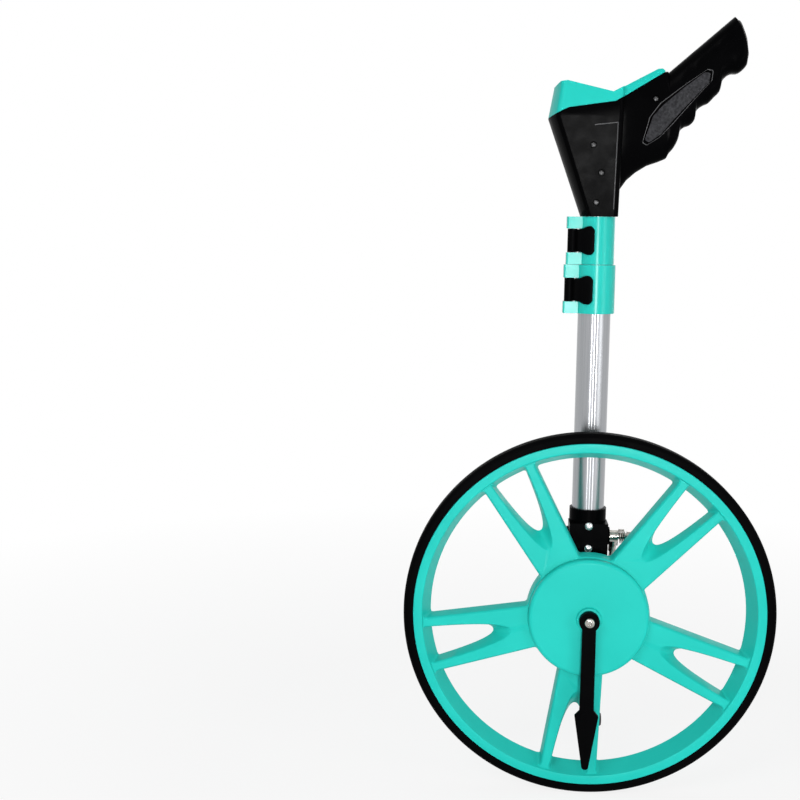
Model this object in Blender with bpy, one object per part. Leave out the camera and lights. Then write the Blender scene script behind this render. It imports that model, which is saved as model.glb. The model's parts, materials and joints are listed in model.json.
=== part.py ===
"""Telescopic measuring wheel: spoked wheel, one-sided bracket, three tubes and a display head.

Metres, +Z up. The wheel's axle runs along Y, its front faces -Y and the grip points to +X.
The origin is on the ground, in the middle of the whole object's outline.
"""

import math

import bmesh
import bpy
from mathutils import Matrix, Vector

# Clearances and cutters
GAP = 0.0003
OVERRUN = 0.004

# Counts
RIM_STEPS = 60
ROUND_STEPS = 32
SMALL_STEPS = 16
ARC_STEPS = 4
BOW_STEPS = 8
FILLET_STEPS = 3
RIM_ARC_COUNT = 5
HUB_ARC_COUNT = 3
SLOT_NOSE_STEPS = 6
LEVER_STEPS = 10
SPOKE_COUNT = 5
BUTTON_COUNT = 3

# Tyre and rim
WHEEL_RADIUS = 0.15915
TYRE_WIDTH = 0.0172
TYRE_THICKNESS = 0.0083
TYRE_SHOULDER = 0.0046
BEAD_WIDTH = 0.0070
BEAD_DEPTH = 0.0012
RIM_WIDTH = 0.0176
RIM_BAND = 0.0080
RIM_DRAFT = 0.0069
RIM_WALL = 0.0030
RIM_EDGE = 0.0012
FIRST_SPOKE_ANGLE = -97.5

# Spokes
WEB_SETBACK = 0.0022
WEB_BACK_SETBACK = 0.0008
WEB_EMBED = 0.0015
WINDOW_EMBED = 0.0004
WEB_HUB_RADIUS = 0.0525
SPOKE_HALF_AT_HUB = 0.0187
SPOKE_HALF_AT_RIM = 0.0245
WINDOW_FILLET = 0.0040
WINDOW_CHAMFER = 0.0016
WINDOW_DRAFT = 0.0008
SLOT_TIP_FRONT = 0.0680
SLOT_TIP_BACK = 0.0805
SLOT_NOSE_FRONT = 0.0360
SLOT_NOSE_BACK = 0.0280
SLOT_HALF_FRONT = 0.0146
SLOT_HALF_BACK = 0.0124

# Hub
BARREL_RADIUS = 0.0180
BARREL_FRONT = 0.0110
BARREL_BACK = 0.0115
HUB_CORE_OUTER = 0.0480
HUB_CORE_INNER = 0.0205
HUB_CORE_SKIN = 0.0036
BEARING_RADIUS = 0.0110
BEARING_WIDTH = 0.0070
BEARING_BORE = 0.0043
BEARING_SHIELD = 0.0006
BARREL_BORE = 0.0080
CAP_RADIUS = 0.0504
CAP_FRONT = 0.0143
CAP_WALL = 0.0025
CAP_ROUND = 0.0035
CAP_RING_RADIUS = 0.0105
CAP_RING_HEIGHT = 0.0038
CAP_HOLE = 0.0056
MAGNET_RING_WIDTH = 0.0070
MAGNET_LENGTH = 0.0030
MAGNET_CIRCLE = 0.0300

# Axle and pointer
AXLE_RADIUS = 0.0040
AXLE_STUB_RADIUS = 0.0030
COLLAR_RADIUS = 0.0050
POINTER_CLEAR = 0.0006
POINTER_BOSS_RADIUS = 0.0086
POINTER_BOSS_LENGTH = 0.0054
POINTER_THICKNESS = 0.0036
POINTER_LENGTH = 0.1313
POINTER_ARM_TOP = 0.0115
POINTER_ARM_BOTTOM = 0.0122
POINTER_HEAD_WIDTH = 0.0204
POINTER_HEAD_LENGTH = 0.0480
POINTER_HEAD_SLOPE = 0.0045
POINTER_TIP_RADIUS = 0.0026
POINTER_EDGE = 0.0007
POINTER_SCREW_HEAD = 0.0044
POINTER_SCREW_HEIGHT = 0.0026
POINTER_SCREW_SHANK = 0.0014
POINTER_SCREW_LENGTH = 0.0100
POINTER_SCREW_SOCKET = 0.0020
POINTER_SCREW_SOCKET_DEPTH = 0.0014

# Tubes
TUBE_SET_BACK = 0.0360
LOWER_TUBE_RADIUS = 0.0140
MIDDLE_TUBE_RADIUS = 0.0124
UPPER_TUBE_RADIUS = 0.0108
TUBE_WALL = 0.0011
TUBE_FLUTE_HALF = 0.0026
TUBE_FLUTE_DEPTH = 0.0007
LOWER_TUBE_FOOT = 0.1985
MIDDLE_TUBE_FOOT = 0.2480
UPPER_TUBE_FOOT = 0.2520

# Bracket
BRACKET_RADIUS = 0.0160
BRACKET_TOP = 0.2462
BRACKET_SHOULDER = 0.2350
BRACKET_HALF_WIDTH = 0.0168
BRACKET_FRONT = 0.0172
BRACKET_THICKNESS = 0.0200
BRACKET_EDGE = 0.0015
BRACKET_POCKET_INSET = 0.0040
BRACKET_POCKET_DEPTH = 0.0120
BRACKET_POCKET_FLOOR = 0.0120
RIVET_HEIGHTS = (0.2131, 0.2327)
RIVET_HEAD = 0.0036
RIVET_HEAD_HEIGHT = 0.0020
RIVET_SHANK = 0.0018
RIVET_TAIL = 0.0024
RIVET_TAIL_HEIGHT = 0.0012
NUT_RADIUS = 0.0072
NUT_HEIGHT = 0.0065
WASHER_RADIUS = 0.0085
WASHER_HEIGHT = 0.0012
SENSOR_WIDTH = 0.0100
SENSOR_HEIGHT = 0.0140
SENSOR_DEPTH = 0.0040

# Stand
STAND_PIVOT_HEIGHT = 0.2205
STAND_BOLT_RADIUS = 0.0028
STAND_BOLT_HEAD = 0.0048
STAND_BOLT_HEAD_HEIGHT = 0.0020
STAND_BOSS_RADIUS = 0.0078
STAND_BOSS_LEFT = 0.0180
STAND_BOSS_RIGHT = 0.0195
KNUCKLE_RADIUS = 0.0052
KNUCKLE_LENGTH = 0.0070
KNUCKLE_SOCKET_RADIUS = 0.0035
KNUCKLE_SOCKET_LENGTH = 0.0110
STAND_ROD_RADIUS = 0.0024
STAND_REACH = 0.1480
STAND_SLEEVE_RADIUS = 0.0060
STAND_SLEEVE_LENGTH = 0.0460
FOOT_BAR_RADIUS = 0.0022
FOOT_BAR_HALF = 0.0520
FOOT_TIP_RADIUS = 0.0064
FOOT_TIP_LENGTH = 0.0160
FOOT_TIP_COVER = 0.0100
SPRING_RADIUS = 0.0060
SPRING_WIRE = 0.0006
SPRING_PITCH = 0.0018
SPRING_TURNS = 3
SPRING_TAIL = 0.0100
STAND_NUT_RADIUS = 0.0052
STAND_NUT_HEIGHT = 0.0042

# Clamps
CLAMP_HEIGHT = 0.0404
LOWER_CLAMP_BASE = 0.4172
CLAMP_GAP = 0.0014
LOWER_COLLAR_RADIUS = 0.0170
UPPER_COLLAR_RADIUS = 0.0154
COLLAR_SPLIT = 0.0014
CLAMP_PIN_REACH = 0.0054
CLAMP_PIN_FORWARD = 0.0040
CLAMP_PIN_RADIUS = 0.0014
CLAMP_PIN_HEAD = 0.0026
CLAMP_PIN_HEAD_HEIGHT = 0.0012
EAR_HEIGHT = 0.0100
EAR_LENGTH = 0.0050
EAR_DEPTH = 0.0045
EAR_BACK = 0.0035
EAR_EDGE = 0.0012
LEVER_KNUCKLE = 0.0042
LEVER_THICKNESS = 0.0034
LEVER_CLEAR = 0.0006
LEVER_FLARE = 0.0026
LEVER_START_TURN = 4.0
LEVER_END_ANGLE = -100.0

# Head
HEAD_LENGTH = 0.1645
HEAD_HEIGHT = 0.1644
HEAD_LEFT = -0.0441
NECK_LEFT = -0.0146
NECK_RIGHT = 0.0165
NECK_HALF_WIDTH = 0.0163
POD_RIGHT = 0.0172
POD_HALF_WIDTH = 0.0268
POD_TOP_HALF_WIDTH = 0.0254
POD_SEAM_HEIGHT = 0.0815
POD_SHOULDER_HEIGHT = 0.1066
POD_SHOULDER_LEFT = -0.0397
POD_BOW = 0.0158
POD_RIGHT_ROUND = 0.0040
NECK_BOW = 0.0120
POD_CLOSE_HEIGHT = 0.1300
GRIP_HALF_WIDTH = 0.0152
GRIP_SQUARENESS = 3.0
HEAD_WALL = 0.0026
CAVITY_FLOOR = 0.0400
TUBE_STOP_HEIGHT = 0.0320
HEAD_SCREW_HEAD = 0.0030
HEAD_SCREW_SHANK = 0.0013
HEAD_SCREW_SINK = 0.0016
HEAD_SCREW_HEIGHT = 0.0014
HEAD_SCREW_LENGTH = 0.0120
INLAY_PROUD = 0.0005
INLAY_SINK = 0.0014

# Display, buttons and what the head holds
SCREEN_LENGTH = 0.0300
SCREEN_WIDTH = 0.0400
SCREEN_THICKNESS = 0.0015
SCREEN_LEDGE = 0.0030
BUTTON_RADIUS = 0.0044
BUTTON_PROUD = 0.0012
BUTTON_TRAVEL = 0.0010
BUTTON_FLANGE = 0.0052
BUTTON_FLANGE_HEIGHT = 0.0010
BUTTON_PITCH = 0.0106
BOARD_THICKNESS = 0.0016
BOARD_DROP = 0.0080
BOARD_LENGTH = 0.0300
BOARD_WIDTH = 0.0360
LCD_THICKNESS = 0.0040
SWITCH_BOARD_LENGTH = 0.0250
SWITCH_BOARD_WIDTH = 0.0216
SWITCH_BOARD_DROP = 0.0062
BATTERY_RADIUS = 0.0052
BATTERY_LENGTH = 0.0445
BATTERY_HEIGHT = 0.0776
BATTERY_SPACING = 0.0118
DOOR_LENGTH = 0.0300
DOOR_HEIGHT = 0.0220
DOOR_THICKNESS = 0.0018

# Outlines of the head, as shares of HEAD_LENGTH and HEAD_HEIGHT from the tube's axis and the neck's foot
SEAM_SHARES = ((-0.480, 0.390), (-0.261, 0.498), (-0.171, 0.541), (0.063, 0.573), (0.312, 0.726), (0.420, 0.792))
CREST_SHARES = ((0.313, 0.731), (0.300, 0.744), (0.278, 0.743), (0.049, 0.621), (-0.180, 0.676), (-0.215, 0.672),
                (-0.236, 0.655), (-0.480, 0.560))
UNDERSIDE_SHARES = ((-0.020, 0.150), (0.104, 0.132), (0.140, 0.185), (0.185, 0.225), (0.240, 0.260), (0.300, 0.281),
                    (0.335, 0.296), (0.350, 0.322), (0.374, 0.352), (0.393, 0.392), (0.401, 0.434), (0.424, 0.456),
                    (0.452, 0.467), (0.472, 0.490), (0.476, 0.526), (0.492, 0.550), (0.518, 0.567), (0.540, 0.577),
                    (0.566, 0.605), (0.592, 0.634), (0.602, 0.682), (0.624, 0.710), (0.650, 0.724), (0.686, 0.728),
                    (0.722, 0.764), (0.728, 0.806), (0.722, 0.870))
TOP_START_SHARES = (0.010, 0.640)
TOP_COVER_SHARES = (0.318, 0.790)
TOP_GRIP_SHARES = (0.333, 0.727)
TOP_END_SHARES = (0.652, 1.004)
WIDTH_TOP_SHARES = (1.40, 1.46, 1.50, 1.42, 1.28, 1.10, 1.0)
WIDTH_BOTTOM_SHARES = (0.85, 0.90, 0.95, 0.95, 0.95, 0.96, 0.98)
END_WIDTH_SHARES = (1.0, 0.94, 0.70)
INLAY_SHARES = ((0.213, 0.380), (0.228, 0.432), (0.248, 0.502), (0.300, 0.566), (0.404, 0.651), (0.512, 0.730),
                (0.540, 0.725), (0.534, 0.676), (0.446, 0.580), (0.357, 0.478), (0.296, 0.408), (0.236, 0.368))
HEAD_SCREW_SHARES = ((-0.041, 0.358), (0.004, 0.219), (0.268, 0.592), (-0.016, 0.070))
BUTTON_START_SHARE = 0.19
SCREEN_CENTRE_SHARE = 0.47
SKIN_SHARE = 1.2
FILLET_SPAN_SHARE = 1.6

# Places worked out from the sizes above
AXLE_HEIGHT = WHEEL_RADIUS
RIM_RADIUS = WHEEL_RADIUS - TYRE_THICKNESS - GAP
BAND_RADIUS = RIM_RADIUS - RIM_BAND
POINTER_FACE = CAP_FRONT + CAP_RING_HEIGHT + POINTER_CLEAR
SCREW_FACE = POINTER_FACE + POINTER_BOSS_LENGTH + GAP
FRONT_REACH = SCREW_FACE + POINTER_SCREW_HEIGHT
BACK_REACH = STAND_REACH + FOOT_TIP_RADIUS
ORIGIN_SHIFT = (FRONT_REACH - BACK_REACH) / 2
WHEEL_Y = ORIGIN_SHIFT
TUBE_Y = ORIGIN_SHIFT + TUBE_SET_BACK
WEB_FRONT = -RIM_WIDTH / 2 + WEB_SETBACK
WEB_BACK = RIM_WIDTH / 2 - WEB_BACK_SETBACK
LOWER_CLAMP_TOP = LOWER_CLAMP_BASE + CLAMP_HEIGHT
UPPER_CLAMP_BASE = LOWER_CLAMP_TOP + CLAMP_GAP
UPPER_CLAMP_TOP = UPPER_CLAMP_BASE + CLAMP_HEIGHT
HEAD_BASE = UPPER_CLAMP_TOP + GAP
STAND_Y = TUBE_Y
STAND_X = STAND_BOSS_RIGHT + GAP + KNUCKLE_LENGTH / 2
FOOT_POINT = Vector((STAND_X, ORIGIN_SHIFT + STAND_REACH, FOOT_TIP_RADIUS))
STAND_POINT = Vector((STAND_X, STAND_Y, STAND_PIVOT_HEIGHT))


# Scene and materials

def clear_scene():
    for item in list(bpy.data.objects):
        bpy.data.objects.remove(item, do_unlink=True)


def material(name, colour, roughness, metallic=0.0):
    made = bpy.data.materials.new(name)
    made.use_nodes = True
    shader = made.node_tree.nodes["Principled BSDF"]
    shader.inputs["Base Color"].default_value = (*colour, 1.0)
    shader.inputs["Roughness"].default_value = roughness
    shader.inputs["Metallic"].default_value = metallic
    made.diffuse_color = (*colour, 1.0)
    return made


def make_materials():
    return {
        "teal": material("teal_plastic", (0.03, 0.62, 0.52), 0.35),
        "black": material("black_plastic", (0.012, 0.012, 0.013), 0.35),
        "rubber": material("black_rubber", (0.02, 0.02, 0.021), 0.75),
        "grey": material("grey_rubber", (0.07, 0.07, 0.075), 0.7),
        "sleeve": material("grey_vinyl", (0.25, 0.25, 0.26), 0.6),
        "tube": material("silver_tube", (0.72, 0.73, 0.75), 0.32, 1.0),
        "steel": material("plated_steel", (0.62, 0.62, 0.63), 0.25, 1.0),
        "screen": material("screen_glass", (0.05, 0.06, 0.06), 0.08),
        "panel": material("display_panel", (0.35, 0.42, 0.36), 0.4),
        "board": material("circuit_board", (0.02, 0.22, 0.08), 0.5),
        "battery": material("battery_can", (0.15, 0.15, 0.16), 0.35, 0.6),
        "button": material("grey_button", (0.20, 0.21, 0.22), 0.5),
    }


# Meshes

def from_mesh(name, verts, faces, mat, smooth=True):
    mesh = bpy.data.meshes.new(name)
    shell = bmesh.new()
    made = [shell.verts.new(point) for point in verts]
    for face in faces:
        shell.faces.new([made[index] for index in face])
    bmesh.ops.recalc_face_normals(shell, faces=shell.faces)
    shell.to_mesh(mesh)
    shell.free()
    if smooth:
        mesh.shade_smooth()
        mesh.set_sharp_from_angle(angle=math.radians(35.0))
    item = bpy.data.objects.new(name, mesh)
    bpy.context.scene.collection.objects.link(item)
    if mat is not None:
        mesh.materials.append(mat)
    return item


def loft(name, rings, mat, smooth=True):
    """A closed body through rings of points with the same count; the end rings are capped."""
    count = len(rings[0])
    verts = [point for ring in rings for point in ring]
    faces = []
    for level in range(len(rings) - 1):
        low = level * count
        high = low + count
        for step in range(count):
            following = (step + 1) % count
            faces.append((low + step, low + following, high + following, high + step))
    last = (len(rings) - 1) * count
    faces.append(tuple(range(count)))
    faces.append(tuple(range(last + count - 1, last - 1, -1)))
    return from_mesh(name, verts, faces, mat, smooth)


def on_axis(axis, first, second, along, centre):
    """A point from two sizes across an axis and one along it."""
    if axis == "X":
        local = Vector((along, first, second))
    elif axis == "Y":
        local = Vector((first, along, second))
    else:
        local = Vector((first, second, along))
    return local + Vector(centre)


def prism(name, outline, low, high, axis, mat, centre=(0.0, 0.0, 0.0), smooth=True):
    rings = [[on_axis(axis, a, b, along, centre) for a, b in outline] for along in (low, high)]
    return loft(name, rings, mat, smooth)


def turned(name, profile, axis, centre, mat, steps=ROUND_STEPS, phase=0.0):
    """A ring: a closed profile of (radius, along) carried once round an axis."""
    count = len(profile)
    verts = []
    for step in range(steps):
        angle = 2.0 * math.pi * (step + phase) / steps
        for radius, along in profile:
            verts.append(on_axis(axis, radius * math.sin(angle), -radius * math.cos(angle), along, centre))
    faces = []
    for step in range(steps):
        here = step * count
        there = ((step + 1) % steps) * count
        for corner in range(count):
            following = (corner + 1) % count
            faces.append((here + corner, here + following, there + following, there + corner))
    return from_mesh(name, verts, faces, mat)


def circle(radius, steps=ROUND_STEPS, turn=0.0):
    points = []
    for step in range(steps):
        angle = 2.0 * math.pi * step / steps + turn
        points.append((radius * math.cos(angle), radius * math.sin(angle)))
    return points


def rod(name, radius, low, high, axis, centre, mat, steps=SMALL_STEPS):
    return prism(name, circle(radius, steps), low, high, axis, mat, centre)


def sleeve(name, inner, outer, low, high, axis, centre, mat, steps=ROUND_STEPS):
    profile = ((inner, low), (outer, low), (outer, high), (inner, high))
    return turned(name, profile, axis, centre, mat, steps)


def box(name, low, high, mat):
    outline = ((low[0], low[1]), (high[0], low[1]), (high[0], high[1]), (low[0], high[1]))
    return prism(name, outline, low[2], high[2], "Z", mat, smooth=False)


def capsule_rings(start, end, radius, steps, round_start, round_end):
    """Rings along a straight round bar, with a domed start or end where asked."""
    direction = (end - start).normalized()
    side = direction.orthogonal().normalized()
    other = direction.cross(side)
    stations = []
    if round_start:
        for share in (0.30, 0.70, 0.95):
            stations.append((start + direction * radius * (1.0 - share), radius * math.sqrt(1 - (1 - share) ** 2)))
            stations[-1] = (start + direction * radius * share, radius * math.sqrt(1.0 - (1.0 - share) ** 2))
    else:
        stations.append((start, radius))
    if round_end:
        for share in (0.95, 0.70, 0.30):
            stations.append((end - direction * radius * share, radius * math.sqrt(1.0 - (1.0 - share) ** 2)))
    else:
        stations.append((end, radius))
    rings = []
    for middle, size in stations:
        ring = []
        for step in range(steps):
            angle = 2.0 * math.pi * step / steps
            ring.append(middle + (side * math.cos(angle) + other * math.sin(angle)) * size)
        rings.append(ring)
    return rings


def bar(name, start, end, radius, mat, steps=SMALL_STEPS, round_start=False, round_end=False):
    return loft(name, capsule_rings(start, end, radius, steps, round_start, round_end), mat)


def swept(name, path, radius, sides, mat):
    """One unbroken round wire along a path of points."""
    rings = []
    normal = (path[1] - path[0]).orthogonal().normalized()
    for index, point in enumerate(path):
        before = path[max(index - 1, 0)]
        after = path[min(index + 1, len(path) - 1)]
        tangent = (after - before).normalized()
        normal = (normal - tangent * normal.dot(tangent)).normalized()
        other = tangent.cross(normal)
        ring = []
        for side in range(sides):
            angle = 2.0 * math.pi * side / sides
            ring.append(point + (normal * math.cos(angle) + other * math.sin(angle)) * radius)
        rings.append(ring)
    return loft(name, rings, mat)


# Cutting and joining

def hide_tool(tool, target):
    tool.hide_render = True
    tool.display_type = "WIRE"
    tool.parent = target
    tool.matrix_parent_inverse = target.matrix_world.inverted()


def boolean(target, tool, operation):
    step = target.modifiers.new(operation.lower() + "_" + tool.name, "BOOLEAN")
    step.operation = operation
    step.solver = "EXACT"
    step.object = tool
    hide_tool(tool, target)


def cut(target, *tools):
    for tool in tools:
        boolean(target, tool, "DIFFERENCE")


def fuse(target, *tools):
    for tool in tools:
        boolean(target, tool, "UNION")


def keep_inside(target, tool):
    boolean(target, tool, "INTERSECT")


def round_edges(target, width, steps=2, angle=40.0):
    edge = target.modifiers.new("rounded_edges", "BEVEL")
    edge.width = width
    edge.segments = steps
    edge.limit_method = "ANGLE"
    edge.angle_limit = math.radians(angle)
    edge.use_clamp_overlap = True


def pivot(name, place):
    empty = bpy.data.objects.new(name, None)
    empty.location = place
    bpy.context.scene.collection.objects.link(empty)
    return empty


def carry(carrier, *pieces):
    """Parent pieces to an empty on their joint's axis, with their own origins there too."""
    for piece in pieces:
        tools = [child for child in piece.children]
        piece.data.transform(Matrix.Translation(-carrier.location))
        for tool in tools:
            tool.matrix_parent_inverse = Matrix.Translation(-carrier.location)
        piece.parent = carrier


# Outlines

def rounded(corners, radii, steps=ARC_STEPS):
    """A closed outline with a round at each corner that has a radius."""
    outline = []
    count = len(corners)
    for index, corner in enumerate(corners):
        here = Vector(corner)
        radius = radii[index]
        if radius <= 0.0:
            outline.append((here.x, here.y))
            continue
        before = (Vector(corners[index - 1]) - here)
        after = (Vector(corners[(index + 1) % count]) - here)
        reach = min(before.length, after.length) * 0.49
        before.normalize()
        after.normalize()
        half = before.angle(after) / 2.0
        back = min(radius / math.tan(half), reach)
        radius = back * math.tan(half)
        middle = here + (before + after).normalized() * (radius / math.sin(half))
        start = here + before * back - middle
        end = here + after * back - middle
        turn = start.angle_signed(end)
        for step in range(steps + 1):
            angle = -turn * step / steps
            outline.append((middle.x + start.x * math.cos(angle) - start.y * math.sin(angle),
                            middle.y + start.x * math.sin(angle) + start.y * math.cos(angle)))
    return outline


def turned_point(along, across, degrees):
    angle = math.radians(degrees)
    return (along * math.cos(angle) - across * math.sin(angle), along * math.sin(angle) + across * math.cos(angle))


def tube_outline(radius, flute_half, depth):
    """A round tube's outline with one flat flute along its front."""
    points = []
    for step in range(ROUND_STEPS):
        angle = 2.0 * math.pi * (step + 0.5) / ROUND_STEPS - math.pi / 2.0
        point = (radius * math.cos(angle), radius * math.sin(angle))
        if abs(point[0]) > flute_half or point[1] > 0.0:
            points.append(point)
    edge = math.sqrt(radius ** 2 - flute_half ** 2)
    flute = ((-flute_half, -edge), (-flute_half + depth, -radius + depth), (flute_half - depth, -radius + depth),
             (flute_half, -edge))
    return points + list(flute)


# Wheel

def rim_inner(along):
    """Radius of the rim's sloped inner wall at a place across its width."""
    share = (along + RIM_WIDTH / 2) / RIM_WIDTH
    return BAND_RADIUS - RIM_DRAFT * share


def wheel_centre():
    return (0.0, WHEEL_Y, AXLE_HEIGHT)


def make_tyre(mats):
    half = TYRE_WIDTH / 2
    seat = WHEEL_RADIUS - TYRE_THICKNESS
    bead = BEAD_WIDTH / 2 - GAP
    profile = [(seat, -half), (WHEEL_RADIUS - TYRE_SHOULDER, -half)]
    for step in range(1, FILLET_STEPS):
        angle = math.pi / 2.0 * step / FILLET_STEPS
        profile.append((WHEEL_RADIUS - TYRE_SHOULDER + TYRE_SHOULDER * math.sin(angle),
                        -half + TYRE_SHOULDER - TYRE_SHOULDER * math.cos(angle)))
    profile.append((WHEEL_RADIUS, -half + TYRE_SHOULDER))
    profile += [(radius, -along) for radius, along in reversed(profile)]
    profile += [(seat, bead), (seat - BEAD_DEPTH, bead), (seat - BEAD_DEPTH, -bead), (seat, -bead)]
    return turned("tyre", profile, "Y", wheel_centre(), mats["rubber"], RIM_STEPS)


def rim_ring(mats):
    half = RIM_WIDTH / 2
    seat = RIM_RADIUS - BEAD_DEPTH - RIM_WALL
    bead = BEAD_WIDTH / 2
    floor = -half + RIM_WALL
    profile = [
        (BAND_RADIUS, -half + RIM_EDGE),
        (BAND_RADIUS + RIM_EDGE, -half),
        (RIM_RADIUS - RIM_EDGE / 2, -half),
        (RIM_RADIUS, -half + RIM_EDGE / 2),
        (RIM_RADIUS, -bead),
        (RIM_RADIUS - BEAD_DEPTH, -bead),
        (RIM_RADIUS - BEAD_DEPTH, bead),
        (RIM_RADIUS, bead),
        (RIM_RADIUS, half),
        (seat, half),
        (seat, floor),
        (rim_inner(floor) + RIM_WALL, floor),
        (rim_inner(half) + RIM_WALL, half),
        (rim_inner(half), half),
    ]
    return turned("wheel_moulding", profile, "Y", wheel_centre(), mats["teal"], RIM_STEPS)


def web_disc():
    inner = (BARREL_RADIUS + BEARING_RADIUS) / 2
    profile = [
        (inner, WEB_FRONT),
        (rim_inner(WEB_FRONT) + WEB_EMBED, WEB_FRONT),
        (rim_inner(WEB_BACK) + WEB_EMBED, WEB_BACK),
        (inner, WEB_BACK),
    ]
    return turned("web_disc", profile, "Y", wheel_centre(), None, RIM_STEPS, 0.5)


def window_outline(index, along, grow):
    """The big opening between two spokes, at one depth; grow eats into spokes and hub."""
    hub = WEB_HUB_RADIUS - grow
    rim = rim_inner(along) + WINDOW_EMBED
    half_hub = SPOKE_HALF_AT_HUB - grow
    half_rim = SPOKE_HALF_AT_RIM - grow
    radius = WINDOW_FILLET + grow
    low = FIRST_SPOKE_ANGLE + 360.0 / SPOKE_COUNT * index
    high = low + 360.0 / SPOKE_COUNT
    edge = math.degrees(math.asin(half_rim / rim))
    fillet = math.degrees(radius * FILLET_SPAN_SHARE / rim)
    first = low + edge + fillet
    last = high - edge - fillet
    corners = [turned_point(math.sqrt(hub ** 2 - half_hub ** 2), half_hub, low)]
    corners.append(turned_point(math.sqrt(rim ** 2 - half_rim ** 2), half_rim, low))
    for step in range(RIM_ARC_COUNT + 1):
        corners.append(turned_point(rim, 0.0, first + (last - first) * step / RIM_ARC_COUNT))
    corners.append(turned_point(math.sqrt(rim ** 2 - half_rim ** 2), -half_rim, high))
    corners.append(turned_point(math.sqrt(hub ** 2 - half_hub ** 2), -half_hub, high))
    edge = math.degrees(math.asin(half_hub / hub))
    for step in range(1, HUB_ARC_COUNT):
        angle = high - edge - (high - low - 2.0 * edge) * step / HUB_ARC_COUNT
        corners.append(turned_point(hub, 0.0, angle))
    radii = [0.0] * len(corners)
    for corner in (0, 1, RIM_ARC_COUNT + 3, RIM_ARC_COUNT + 4):
        radii[corner] = radius
    return rounded(corners, radii, FILLET_STEPS)


def window_cutter(index):
    levels = (
        (WEB_FRONT - WINDOW_CHAMFER, WINDOW_CHAMFER * 2),
        (WEB_FRONT + WINDOW_CHAMFER, 0.0),
        (WEB_BACK + OVERRUN, -WINDOW_DRAFT),
    )
    rings = []
    for along, grow in levels:
        rings.append([on_axis("Y", a, b, along, wheel_centre()) for a, b in window_outline(index, along, grow)])
    return loft("window_cutter_%d" % (index + 1), rings, None)


def slot_outline(index, along):
    """The almond opening inside a spoke, which narrows and moves outwards towards the back."""
    share = (along - WEB_FRONT) / (WEB_BACK - WEB_FRONT)
    tip = SLOT_TIP_FRONT + (SLOT_TIP_BACK - SLOT_TIP_FRONT) * share
    nose = SLOT_NOSE_FRONT + (SLOT_NOSE_BACK - SLOT_NOSE_FRONT) * share
    half = SLOT_HALF_FRONT + (SLOT_HALF_BACK - SLOT_HALF_FRONT) * share
    bluntness = 0.65 - 0.15 * share
    rim = rim_inner(along) + WINDOW_EMBED
    side = []
    for step in range(1, SLOT_NOSE_STEPS + 1):
        reach = (step / SLOT_NOSE_STEPS) ** 1.6
        side.append((tip + nose * reach, half * (1.0 - (1.0 - reach) ** 2) ** bluntness))
    corner = math.sqrt(rim ** 2 - half ** 2)
    corners = [(tip, 0.0)]
    corners += [(a, -b) for a, b in side]
    corners += [(corner, -half), (rim, 0.0), (corner, half)]
    corners += reversed(side)
    radii = [0.0] * len(corners)
    radii[len(side) + 1] = WINDOW_FILLET / 2
    radii[len(side) + 3] = WINDOW_FILLET / 2
    turn = FIRST_SPOKE_ANGLE + 360.0 / SPOKE_COUNT * index
    return [turned_point(a, b, turn) for a, b in rounded(corners, radii, 2)]


def slot_cutter(index):
    rings = []
    for along in (WEB_FRONT - OVERRUN, WEB_BACK + OVERRUN):
        rings.append([on_axis("Y", a, b, along, wheel_centre()) for a, b in slot_outline(index, along)])
    return loft("slot_cutter_%d" % (index + 1), rings, None)


def hub_barrel():
    middle = (BARREL_BACK - BARREL_FRONT) / 2
    seat = (BARREL_FRONT + BARREL_BACK) / 2 - BEARING_WIDTH
    profile = (
        (BEARING_RADIUS + GAP, -BARREL_FRONT),
        (BARREL_RADIUS, -BARREL_FRONT),
        (BARREL_RADIUS, BARREL_BACK),
        (BEARING_RADIUS + GAP, BARREL_BACK),
        (BEARING_RADIUS + GAP, middle + seat - GAP),
        (BARREL_BORE, middle + seat - GAP),
        (BARREL_BORE, middle - seat + GAP),
        (BEARING_RADIUS + GAP, middle - seat + GAP),
    )
    return turned("hub_barrel", profile, "Y", wheel_centre(), None)


def hub_core():
    floor = WEB_FRONT + HUB_CORE_SKIN
    return sleeve("hub_core", HUB_CORE_INNER, HUB_CORE_OUTER, floor, WEB_BACK + OVERRUN, "Y", wheel_centre(), None)


def make_wheel_moulding(mats):
    wheel = rim_ring(mats)
    fuse(wheel, web_disc())
    for index in range(SPOKE_COUNT):
        cut(wheel, window_cutter(index), slot_cutter(index))
    cut(wheel, hub_core())
    fuse(wheel, hub_barrel())
    return wheel


def make_hub_cap(mats):
    back = WEB_FRONT - GAP
    front = -CAP_FRONT
    inside = CAP_RADIUS - CAP_WALL
    profile = [(CAP_HOLE, front - CAP_RING_HEIGHT), (CAP_RING_RADIUS - RIM_EDGE, front - CAP_RING_HEIGHT),
               (CAP_RING_RADIUS, front - CAP_RING_HEIGHT + RIM_EDGE), (CAP_RING_RADIUS, front - RIM_EDGE),
               (CAP_RING_RADIUS + RIM_EDGE, front), (CAP_RADIUS - CAP_ROUND, front)]
    for step in range(1, ARC_STEPS + 1):
        angle = math.pi / 2.0 * step / ARC_STEPS
        profile.append((CAP_RADIUS - CAP_ROUND + CAP_ROUND * math.sin(angle),
                        front + CAP_ROUND - CAP_ROUND * math.cos(angle)))
    profile += [(CAP_RADIUS, back), (inside, back), (inside, front + CAP_WALL), (CAP_HOLE, front + CAP_WALL)]
    return turned("hub_cap", profile, "Y", wheel_centre(), mats["teal"], ROUND_STEPS)


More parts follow.
